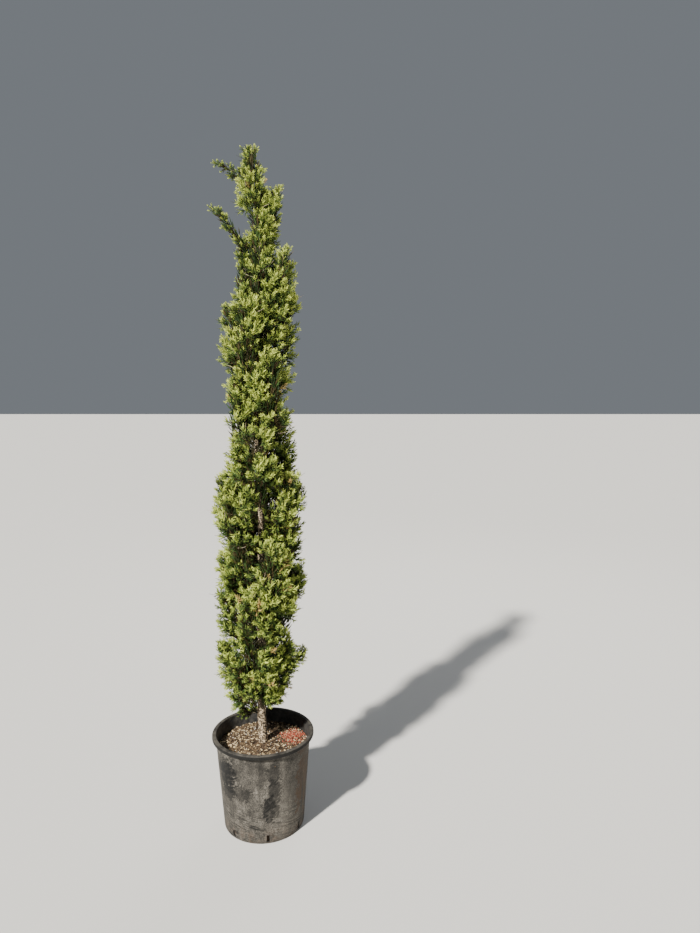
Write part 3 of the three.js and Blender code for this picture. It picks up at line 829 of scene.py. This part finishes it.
def collars(points):
    """Swellings of the trunk: a smooth bell round the joint of each bough."""
    total = np.zeros(points.shape[:-1])
    for plume in plumes:
        outwards = np.array([math.cos(plume.azimuth), math.sin(plume.azimuth), 0.0])
        joint = trunk_axis(plume.joint) + trunk_radius(plume.joint) * outwards
        distance = np.sum((points - joint) ** 2, axis=-1)
        bell = np.exp(-distance / (2 * (collar_width * plume.thick) ** 2))
        total += collar_height * plume.thick * bell
    return total


trunk_heights = between(trunk_ends, np.linspace(0, 1, trunk_rings) ** ring_crowding)
trunk_angles = np.linspace(0, 2 * math.pi, trunk_columns, endpoint=False)
trunk_circle = level(trunk_angles)
trunk_rounds = trunk_radius(trunk_heights)[:, None, None] * trunk_circle
trunk_points = trunk_axis(trunk_heights)[:, None] + trunk_rounds
trunk_relief = furrow_depth * trunk_radius(trunk_heights)[:, None] * furrows(trunk_points)
trunk_scars = scars(trunk_angles[None], trunk_heights[:, None])
trunk_relief += collars(trunk_points) - scar_depth * trunk_scars
trunk_points += trunk_relief[..., None] * trunk_circle
trunk_points = np.concatenate([trunk_points.reshape(-1, 3), trunk_axis(trunk_ends)])
trunk_faces = [
    ring_faces(trunk_rings, trunk_columns).reshape(-1, 4),
    end_fans(trunk_rings * trunk_columns, trunk_columns),
]
bark = young_bark()
trunk = add_piece("trunk_bark", trunk_points, trunk_faces, [bark])
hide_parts("trunk")
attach(trunk, "root")


# Boughs: tapering limbs that leave the trunk at a narrow angle and turn up at once. Each ends where
# it enters its plume of foliage, and its bark is the trunk's own, with the same furrows.

bough_columns, bough_rings = 10, 30
limb_relief = 0.12
plume_foot = 0.3
limb_flare, flare_share = 0.28, 0.09


class Heap:
    """Many small shapes gathered for one mesh."""

    def __init__(self):
        self.points, self.faces, self.slots, self.count = [], [], [], 0

    def add(self, points, *blocks, slots=0):
        """Points, and blocks of faces that number them from the first."""
        self.points.append(points)
        self.faces += [block + self.count for block in blocks]
        self.slots.append(np.broadcast_to(slots, sum(len(block) for block in blocks)))
        self.count += len(points)

    def piece(self, name, materials):
        points, slots = np.concatenate(self.points), np.concatenate(self.slots)
        return add_piece(name, points, self.faces, materials, slots)


def add_limb(heap, plume, shares, radii, columns):
    """A limb round a plume's path: rings square to it, of given radii, with bark relief, each end
    closed by a fan."""
    point, growth, side, out = plume.at(shares)
    angle = np.linspace(0, 2 * math.pi, columns, endpoint=False)[None, :, None]
    away = np.cos(angle) * side[:, None] + np.sin(angle) * out[:, None]
    points = point[:, None] + radii[:, None, None] * away
    points += (limb_relief * radii[:, None] * furrows(points))[..., None] * away
    points = np.concatenate([points.reshape(-1, 3), point[[0, -1]]])
    tube = ring_faces(len(shares), columns).reshape(-1, 4)
    heap.add(points, tube, end_fans(len(shares) * columns, columns))


bough_heap = Heap()
bough_plumes = [plume for plume in plumes if not plume.slight]
for plume in bough_plumes:
    share = np.linspace(0, 1, bough_rings)
    thickness = between((plume.thick, plume.foot), share)
    thickness *= 1 + limb_flare * np.exp(-share / flare_share)
    add_limb(bough_heap, plume, share * plume_foot, thickness, bough_columns)
boughs = bough_heap.piece("bough_limbs", [bark])
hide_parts(*[f"bough_{plume.name}" for plume in bough_plumes])
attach(boughs, "root")


# Twigs: each bough carries on as a thin stem up the middle of its plume, and leafy shoots leave it
# all round in tufts, wide open low down and nearly upright above. Their wood is the same bark,
# thinner and browner, and it shows where the foliage is open. The living twigs' wood is made
# darker than its own colour as painted shade.

sprays_in_tuft, tuft_share, low_fullness = 7, 1.45, 1.3
stem_reach, stem_rings, stem_columns = 0.965, 26, 6
stem_end_radius, stem_taper = 0.0008, 0.8
slight_foot = 0.004
heart_thickest, heart_end_radius = 0.039, 0.005
heart_fullness, heart_lowness = 0.62, 0.85
tuft_feet, highest_spray = (0.24, 0.12), 0.965
root_depth = 0.42
stem_drop, lowest_start = 0.06, 0.1
tuft_lengths, tuft_openings = (0.118, 0.092), (math.radians(60), math.radians(24))
outward_turn = math.radians(140)
tuft_holds = (0.8, 1.2)
spread_evening = 0.5
trial_seed, trial_cut, spray_trials = 17, 0.1, 7
reach_margin, tip_margin = 0.010, 0.012
side_openings = (0.0, 0.85, 0.75, 0.80, 0.65, 0.70, 0.55)
side_roots = (0.0, 0.05, 0.15, 0.26, 0.38, 0.50, 0.62)
side_lengths = (0.92, 0.60, 0.68, 0.66, 0.62, 0.56, 0.50)
spray_curl = 0.16
trunk_shoot_count, trunk_shoot_seed = 66, 5000
first_shoot_azimuth, shoot_openings = math.radians(165), (math.radians(54), math.radians(16))
shoot_heights, shoot_lengths = (0.475, 1.250, 1.850, 2.494), (0.084, 0.108, 0.088, 0.046)
trunk_lengths = ("trunk_low", "trunk_middle", "trunk_high")
rooted_share, start_back, bare_share = 0.6, 0.2, 0.035
twig_shares, twig_radii = np.array([0.0, 0.45, 0.9]), np.array([0.0014, 0.0012, 0.0009, 0.0004])
upright = np.array([0.0, 0.0, 1.0])


def heart_radius(plume, share):
    """The plume's swelling round its stem: a power of the sine of a power of the share."""
    swelling = np.sin(math.pi * share ** heart_lowness) ** heart_fullness
    return np.maximum(plume.spread * heart_thickest * swelling, heart_end_radius)


def unit(vectors):
    """Directions one unit long."""
    return vectors / np.linalg.norm(vectors, axis=-1, keepdims=True)


def uplift(direction):
    """The part of straight up that is square to a direction, along which a shoot curls."""
    return upright - direction[:, 2:] * direction


def opened(axis, away, opening):
    """Directions that lean from an axis by an opening: cosine along it and sine away from it."""
    return np.cos(opening)[:, None] * axis + np.sin(opening)[:, None] * away


def reach_at(points):
    """How far points are from the trunk's axis, and how far the crown reaches there."""
    offset = points - trunk_axis(points[..., 2])
    limit = crown_reach(np.arctan2(offset[..., 1], offset[..., 0]), points[..., 2])
    return np.hypot(offset[..., 0], offset[..., 1]), limit


def grow_tufts(plume):
    """Tufts of one plume by the rule of its sprays: each leaves the stem at an opening that narrows
    with height, turned at most 140 degrees from outwards, and is tried shorter and tighter until
    its tip stays in the crown's outline. Returns each one's start, root, direction, length and
    seed."""
    fullness = float(eased(plume.joint, (0.44, 1.30), (low_fullness, 1.0)))
    count = round(tuft_share * fullness * plume.sprays)
    share = (np.arange(count) + 0.5) / count
    lowest = float(eased(plume.joint, (1.20, 1.70), tuft_feet))
    place = between((lowest, highest_spray), share)
    seed = plume.seed + np.arange(count)
    point, growth, side, out = plume.at(place)
    root, direction, length = np.zeros((count, 3)), np.zeros((count, 3)), np.zeros(count)
    settled = np.zeros(count, bool)
    for trial in range(spray_trials):
        turn = outward_turn * (2 * chance(seed + trial * trial_seed) - 1)
        shrink = 1 - trial_cut * trial
        opening = shrink * between(tuft_holds, chance(seed + 0.1)) * between(tuft_openings, share)
        size = shrink * plume.size * between((plume.spread, 1), spread_evening)
        new_length = size * between(tuft_lengths, share)
        away = opened(out, side, turn)
        new_root = point + root_depth * heart_radius(plume, share)[:, None] * away
        tried = (new_root, opened(growth, away, opening), new_length)
        for chosen, new in zip((root, direction, length), tried):
            chosen[~settled] = new[~settled]
        tip = root + direction * length[:, None] + uplift(direction) * spray_curl * length[:, None]
        distance, limit = reach_at(tip)
        inside = distance < np.maximum(limit, plume.own_reach) + reach_margin
        settled |= inside & (tip[:, 2] < min(plume.tip + tip_margin, tree_top))
    start = plume.at(np.maximum(place - stem_drop, lowest_start))[0]
    return [values[settled] for values in (start, root, direction, length, seed)]


def square_to(direction, spin):
    """Two directions square to each given one and to each other, turned about it by a spin."""
    helper = np.where(np.abs(direction[:, 2:]) < 0.9, (0.0, 0.0, 1.0), (1.0, 0.0, 0.0))
    first = unit(np.cross(direction, helper))
    second = np.cross(direction, first)
    cosine, sine = np.cos(spin)[:, None], np.sin(spin)[:, None]
    return cosine * first + sine * second, cosine * second - sine * first


def triangle(direction, spin):
    """Three directions evenly round each given one and square to it."""
    side, out = square_to(direction, spin)
    corner = np.radians([0, 120, 240])[:, None]
    return np.cos(corner) * side[:, None] + np.sin(corner) * out[:, None]


def trunk_tufts(first, last):
    """Short leafy shoots straight from the trunk, all round it by the golden angle. They are
    longest half way up, and the more upright the higher they stand."""
    number = np.arange(first, last)
    share = number / trunk_shoot_count
    height = between((shoot_heights[0], shoot_heights[-1]), share)
    away = level(first_shoot_azimuth + number * golden_angle)
    direction = opened(upright, away, between(shoot_openings, share))
    radius = trunk_radius(height)[:, None]
    length = eased(height, shoot_heights, shoot_lengths) * (0.85 + 0.3 * chance(number))
    start = trunk_axis(height) + rooted_share * radius * away
    root = trunk_axis(height) + radius * away
    return start, root, direction, length, trunk_shoot_seed + number


def grow_sprays(start, root, direction, length, seed):
    """The sprays of each tuft: one on its axis and six round it by the golden angle, opened out
    from it and rooted ever higher on it, so that the tuft has the outline of a flame."""
    parts = []
    for number in range(sprays_in_tuft):
        spin = 2 * math.pi * chance(seed + 0.61) + number * golden_angle
        side, _ = square_to(direction, spin)
        opening = side_openings[number] * (0.8 + 0.4 * chance(seed + number * 1.7))
        along = side_roots[number] * length
        new_root = root + along[:, None] * direction
        new_root += uplift(direction) * (spray_curl * along ** 2 / length)[:, None]
        new_length = side_lengths[number] * length * (0.88 + 0.24 * chance(seed + number * 2.3))
        if number:
            start = new_root - start_back * along[:, None] * direction
        new_direction = unit(opened(direction, side, opening))
        parts.append((start, new_root, new_direction, new_length, seed + 0.13 * number))
    return [np.concatenate(part) for part in zip(*parts)]


def is_bare(seed):
    """True for the few shoots that have died and dropped their leaves."""
    return chance(seed + 0.55) < bare_share


sprays = {plume.name: grow_sprays(*grow_tufts(plume)) for plume in plumes}
length_ends = np.linspace(0, trunk_shoot_count, len(trunk_lengths) + 1).astype(int)
for name, first, last in zip(trunk_lengths, length_ends[:-1], length_ends[1:]):
    sprays[name] = grow_sprays(*trunk_tufts(first, last))
twig_heap = Heap()
for plume in plumes:
    first = slight_foot if plume.slight else plume_foot
    share = np.linspace(first, stem_reach, stem_rings)
    along = (share - first) / (stem_reach - first)
    thickness = between((plume.foot, stem_end_radius), along ** stem_taper)
    add_limb(twig_heap, plume, share, thickness, stem_columns)

twig_faces = ring_faces(len(twig_radii), 3).reshape(-1, 4)
for start, root, direction, length, seed in sprays.values():
    bent = twig_shares[:, None]
    curve = direction[:, None] * bent + uplift(direction)[:, None] * spray_curl * bent ** 2
    path = np.concatenate([start[:, None], root[:, None] + curve * length[:, None, None]], axis=1)
    ring = triangle(direction, 6 * chance(seed))
    points = path[:, :, None] + twig_radii[:, None, None] * ring[:, None]
    faces = copied(twig_faces, len(start), 3 * len(twig_radii)).reshape(-1, 4)
    slots = np.repeat(is_bare(seed).astype(int), len(twig_faces))
    twig_heap.add(points.reshape(-1, 3), faces, slots=slots)


def twig_wood(name, dark, pale):
    """Thin twig bark, with paler and darker lengths."""
    pattern = Pattern(name, pale, 0.85, 0.25)
    return pattern.finish(pattern.mix(pattern.range(pattern.noise(45.0), 0.36, 0.62), dark, pale))


# The living twigs' wood is dark greenish brown: partly its own colour, partly painted shade inside
# the crown.
twig_woods = [
    twig_wood("twig_wood", (0.018, 0.020, 0.009), (0.078, 0.068, 0.034)),
    twig_wood("bare_twig_wood", (0.300, 0.240, 0.160), (0.640, 0.540, 0.400)),
]
twigs = twig_heap.piece("plume_twigs", twig_woods)
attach(twigs, "root")


# Foliage: scale leaves packed on fine branchlets, which fork off every spray and carry finer
# spikes. Tips are fresh yellow-green and lower parts deep green, a rise in tone that is partly the
# foliage's own and partly painted light on the tips and painted shade at the bases. Old scales
# inside the crown are brown and darkened further as painted shade, and sprays rooted deep in the
# crown and thin shoots are darkened as painted shade too. Each shoot has its own tone, and a few
# have dried out to tan.

spray_kinds, branchlets, spikes = 7, 10, 3
branchlet_places, spike_places = (0.08, 0.97), (0.18, 0.72)
branchlet_width, spike_width = 0.072, 0.066
foot_opening, opening_fall = 54, 40
foot_length, length_fall = 0.42, 0.17
spike_length, spike_fall = 0.66, 0.22
spike_openings = (30, 56)
size_spread, length_spread = (0.8, 1.2), (0.75, 1.15)
upturn = 1.2
inner_scales, scale_places, scale_depths = 420, (0.33, 0.93), (0.15, 0.85)
scale_lengths, scale_widths, scale_leans = (0.022, 0.042), (0.004, 0.0065), (0.1, 0.7)
# Shares of the inner scales among the three darkest tones, whose darkness is partly painted shade.
inner_shares = (0.30, 0.45, 0.25)
outline_margin, top_margin, bark_margin = 0.016, 0.003, 0.001

# Gaps through which the trunk shows: height and half height. Each opens in two directions, one
# towards the front and one up to its left, where the light comes in: azimuth, rise and widening
trunk_gaps = ((1.470, 0.026), (1.200, 0.036), (1.062, 0.020), (0.745, 0.026))
gap_half = 0.011
gap_ways = ((math.radians(-86), 0.18, 0.13), (math.radians(-123), 0.86, 0.06))
# Leaf tones, darkest first. The darkest two, old scales and shade green, are partly painted shade
# in the crown's hollows.
leaf_tones = {
    "old_scales_and_shade": (0.062, 0.046, 0.018),
    "shade_green": (0.018, 0.034, 0.008),
    "deep_green": (0.046, 0.088, 0.022),
    "mid_green": (0.122, 0.176, 0.038),
    "olive_green": (0.206, 0.266, 0.048),
    "leaf_green": (0.324, 0.394, 0.074),
    "fresh_tips": (0.488, 0.556, 0.122),
    "dried_shoots": (0.480, 0.350, 0.120),
}
tone_steps = (0.06, 0.20, 0.36, 0.52, 0.68, 0.86)
dry_share, dry_from = 0.011, 0.2
# Shoots thinner than this size are darkened by this much tone as painted shade.
thin_size, thin_painted_shade = 0.65, 0.22
mood_level, height_gain = -0.17, 0.21
shoot_range, spray_range, branchlet_range = 0.46, 0.14, 0.18
# Painted shade deep in the crown: tone taken off per unit of depth past the depth where it begins,
# held between these ends.
depth_painted_shade, unshaded_depth, depth_shade_ends = 0.34, 0.38, (-0.20, 0.50)
# How fast the tone rises from a spray's base to its tips: partly the fresh tips' own colour, partly
# painted light and shade.
tone_gain = 1.02
foliage_zones = (
    ("foliage_skirt", ("trunk_low", "low_back", "low_front", "low_mid", "low_rear")),
    ("foliage_foot", ("low_left", "low_right", "01")),
    ("foliage_low", ("02", "03", "04")),
    ("foliage_hip", ("05", "06", "left_tuft")),
    ("foliage_waist", ("right_tuft", "07", "08", "09")),
    ("foliage_middle", ("trunk_middle", "10", "11", "12", "13")),
    ("foliage_chest", ("14", "left_spur", "15", "16")),
    ("foliage_shoulder", ("17", "18", "right_spur")),
    ("foliage_top", ("trunk_high", "left_arm", "right_arm", "top_left", "leader")),
)


def spindles(start, direction, length, width, spin, waist):
    """Closed three-sided spindles: a point at each end and a ring of three at the waist's share."""
    middle = start + direction * (waist * length)[:, None]
    ring = middle[:, None] + triangle(direction, spin) * (width / 2)[:, None, None]
    tip = start + direction * length[:, None]
    return np.concatenate([start[:, None], ring, tip[:, None]], axis=1)


def needles(start, direction, length, width, spin):
    """Closed four-faced needles: a ring of three at the root that narrows to a point."""
    ring = start[:, None] + triangle(direction, spin) * (width / 2)[:, None, None]
    tip = start + direction * length[:, None]
    return np.concatenate([ring, tip[:, None]], axis=1)


spindle_corners, needle_corners = 5, 4
spindle_faces = np.array([(0, 2, 1), (0, 3, 2), (0, 1, 3), (1, 2, 4), (2, 3, 4), (3, 1, 4)])
needle_faces = np.array([(0, 2, 1), (0, 1, 3), (1, 2, 3), (2, 0, 3)])


def spray_template(rng):
    """A spray one unit long that grows along +Z. Branchlets leave its axis in turn by the golden
    angle, wide and long low down, and each forks the same way into tapering spikes. The whole is
    turned up by the square of the distance from the axis. Returns points, faces, and for each face
    how far along the spray it is and which branchlet it is on, and each branchlet's tip."""
    share = np.linspace(*branchlet_places, branchlets)
    spin = np.arange(branchlets) * golden_angle + rng.uniform(0, 2 * math.pi)
    opening = np.radians(foot_opening - opening_fall * share)
    opening = opening * rng.uniform(*size_spread, branchlets)
    length = (foot_length - length_fall * share) * rng.uniform(*length_spread, branchlets)
    length *= np.clip(0.6 + 2.4 * share, 0, 1)
    direction = opened(upright, level(spin), opening)
    start = share[:, None] * upright * (1 - 0.2 * share[:, None])
    width = branchlet_width * rng.uniform(*size_spread, branchlets)
    body = spindles(start, direction, length, width, spin, 0.5)

    place = np.linspace(*spike_places, spikes)
    roots = start[:, None] + direction[:, None] * (place[None] * length[:, None])[..., None]
    lines = np.repeat(direction, spikes, axis=0)
    turn = np.tile(np.arange(spikes) * golden_angle, branchlets)
    turn = turn + np.repeat(rng.uniform(0, 6, branchlets), spikes)
    side, _ = square_to(lines, turn)
    leaning = opened(lines, side, np.radians(rng.uniform(*spike_openings, len(lines))))
    reach = np.repeat(length, spikes) * np.tile(spike_length - spike_fall * place, branchlets)
    reach *= rng.uniform(*size_spread, len(lines))
    thick = spike_width * rng.uniform(*size_spread, len(lines))
    forks = needles(roots.reshape(-1, 3), leaning, reach, thick, turn)

    points = np.concatenate([body.reshape(-1, 3), forks.reshape(-1, 3)])
    tips = start + direction * length[:, None]
    for shape in (points, tips):
        shape[:, 2] += upturn * (shape[:, 0] ** 2 + shape[:, 1] ** 2)
    body_faces = copied(spindle_faces, branchlets, spindle_corners)
    fork_faces = copied(needle_faces, branchlets * spikes, needle_corners)
    fork_faces = fork_faces + branchlets * spindle_corners
    faces = np.concatenate([body_faces.reshape(-1, 3), fork_faces.reshape(-1, 3)])
    body_along = share[:, None] + np.array([-0.09, -0.09, -0.09, 0.05, 0.05, 0.05])
    fork_along = np.repeat(share, spikes) + 0.02 + np.tile(0.12 * place, branchlets)
    along = np.concatenate([body_along.ravel(), np.repeat(fork_along, len(needle_faces))])
    body_owner = np.repeat(np.arange(branchlets), len(spindle_faces))
    fork_owner = np.repeat(np.arange(branchlets), spikes * len(needle_faces))
    return points, faces, along, np.concatenate([body_owner, fork_owner]), tips


template_rng = np.random.default_rng(7)
spray_shapes = [spray_template(template_rng) for _ in range(spray_kinds)]


def outside_crown(points, reach, top):
    """True where a point is past the crown's outline and a shoot's own reach, above its top or
    inside the trunk."""
    radius, limit = reach_at(points)
    buried = radius < trunk_radius(points[..., 2]) + bark_margin
    beyond = radius > np.maximum(limit, reach) + outline_margin
    return beyond | (points[..., 2] > top - top_margin) | buried


def in_trunk_gap(points):
    """True in the gaps: each starts as wide as the trunk, and widens and rises evenly outwards."""
    offset = points - trunk_axis(points[..., 2])
    inside = np.zeros(offset.shape[:-1], bool)
    for azimuth, rise, widening in gap_ways:
        ahead = math.cos(azimuth) * offset[..., 0] + math.sin(azimuth) * offset[..., 1]
        across = math.cos(azimuth) * offset[..., 1] - math.sin(azimuth) * offset[..., 0]
        narrow = (ahead > 0) & (np.abs(across) < gap_half + widening * ahead)
        for height, half in trunk_gaps:
            inside |= narrow & (np.abs(points[..., 2] - height - rise * ahead) < half)
    return inside


def add_sprays(heap, name, reach, top, shade=0.0):
    """All the sprays of a plume or of the trunk: copies of the templates, scaled, turned to their
    direction and curled upwards by the square of the way along. Branchlets outside the crown are
    left out. The deeper in the crown a spray is rooted, from 0 at its outline to 1 at the trunk,
    the darker it is, as painted shade; and the painted shade given for thin shoots is taken off
    the tone of the whole plume."""
    _, root, direction, length, seed = sprays[name]
    side, out = square_to(direction, 2 * math.pi * chance(seed + 0.4))
    axes = np.stack([side, out, direction], axis=2)
    lift = uplift(direction) * spray_curl
    kind = (chance(seed + 0.9) * spray_kinds).astype(int)
    height = (root[:, 2] - crown_heights[0]) / (tree_top - crown_heights[0])
    distance, limit = reach_at(root)
    depth = 1 - distance / limit
    mood = mood_level + shoot_range * (chance(np.floor(seed) + 0.33) - 0.5)
    mood = mood + spray_range * (chance(seed + 0.33) - 0.5)
    mood += height_gain * height - depth_painted_shade * np.clip(depth - unshaded_depth, *depth_shade_ends) - shade
    dry = chance(seed + 0.77) < dry_share
    for number, (points, faces, along, owner, tips) in enumerate(spray_shapes):
        chosen = kind == number
        if not chosen.any():
            continue
        turn, size, rise = axes[chosen], length[chosen, None, None], lift[chosen, None]

        def placed(shape):
            bent = np.einsum("nij,kj->nki", turn, shape) + rise * shape[None, :, 2:] ** 2
            return root[chosen, None] + size * bent

        world_points, world_tips = placed(points), placed(tips)
        middles = world_points[:, 1:spindle_corners * branchlets:spindle_corners]
        lost = outside_crown(world_tips, reach, top) | is_bare(seed[chosen])[:, None]
        lost |= in_trunk_gap(world_tips) | in_trunk_gap(middles)
        keep = ~lost[:, owner]
        own_tone = chance(seed[chosen, None] * 3.1 + owner[None] * 0.7) - 0.5
        tone = mood[chosen, None] + tone_gain * along[None] + branchlet_range * own_tone
        slot = np.digitize(tone, tone_steps)
        slot = np.where(dry[chosen, None] & (along[None] > dry_from), len(leaf_tones) - 1, slot)
        faces = copied(faces, len(world_points), len(points))
        heap.add(world_points.reshape(-1, 3), faces[keep], slots=slot[keep])


def add_inner_scales(heap, plume):
    """Old dark foliage close round the stem, as coarser spindles inside the plume's swelling. Its
    dark tones are partly the old foliage's own and partly painted shade.
    """
    rng = np.random.default_rng(plume.seed + 5)
    count = round(inner_scales * plume.spread * (plume.tip - plume.joint) / plume_rises[0])
    share = rng.uniform(*scale_places, count)
    point, growth, side, out = plume.at(share)
    turn = rng.uniform(0, 2 * math.pi, count)
    away = opened(side, out, turn)
    depth = heart_radius(plume, share) * rng.uniform(*scale_depths, count) ** 0.7
    direction = unit(growth + away * rng.uniform(*scale_leans, count)[:, None])
    length, width = rng.uniform(*scale_lengths, count), rng.uniform(*scale_widths, count)
    points = spindles(point + away * depth[:, None], direction, length, width, turn, 0.4)
    outside = outside_crown(points[:, [0, 4]], plume.own_reach, plume.tip).any(axis=1)
    points = points[~outside & ~in_trunk_gap(points[:, 1])]
    count = len(points)
    slots = np.repeat(rng.choice(len(inner_shares), count, p=inner_shares), len(spindle_faces))
    faces = copied(spindle_faces, count, spindle_corners).reshape(-1, 3)
    heap.add(points.reshape(-1, 3), faces, slots=slots)


def without_loose_points(heap):
    """The heap's points and faces, with the points that no face uses taken out."""
    faces = np.concatenate(heap.faces)
    used, renumbered = np.unique(faces, return_inverse=True)
    return np.concatenate(heap.points)[used], renumbered.reshape(faces.shape)


leaf_finishes = [new_material(name, tone, 0.6, 0.18) for name, tone in leaf_tones.items()]
plume_named = {plume.name: plume for plume in plumes}
for zone, names in foliage_zones:
    leaf_heap = Heap()
    for name in trunk_lengths:
        if name in names:
            add_sprays(leaf_heap, name, 0.0, tree_top)
    borne = [plume_named[name] for name in names if name in plume_named]
    for plume in borne:
        top = min(plume.tip + 2 * tip_margin, tree_top)
        # Thin shoots get painted shade.
        shade = thin_painted_shade if plume.size < thin_size else 0.0
        add_sprays(leaf_heap, plume.name, plume.own_reach, top, shade)
        add_inner_scales(leaf_heap, plume)
    zone_points, zone_faces = without_loose_points(leaf_heap)
    zone_slots = np.concatenate(leaf_heap.slots)
    foliage = add_piece(zone, zone_points, [zone_faces], leaf_finishes, zone_slots, smooth=False)
    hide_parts(*[f"foliage_{plume.name}" for plume in borne])
    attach(foliage, "root")
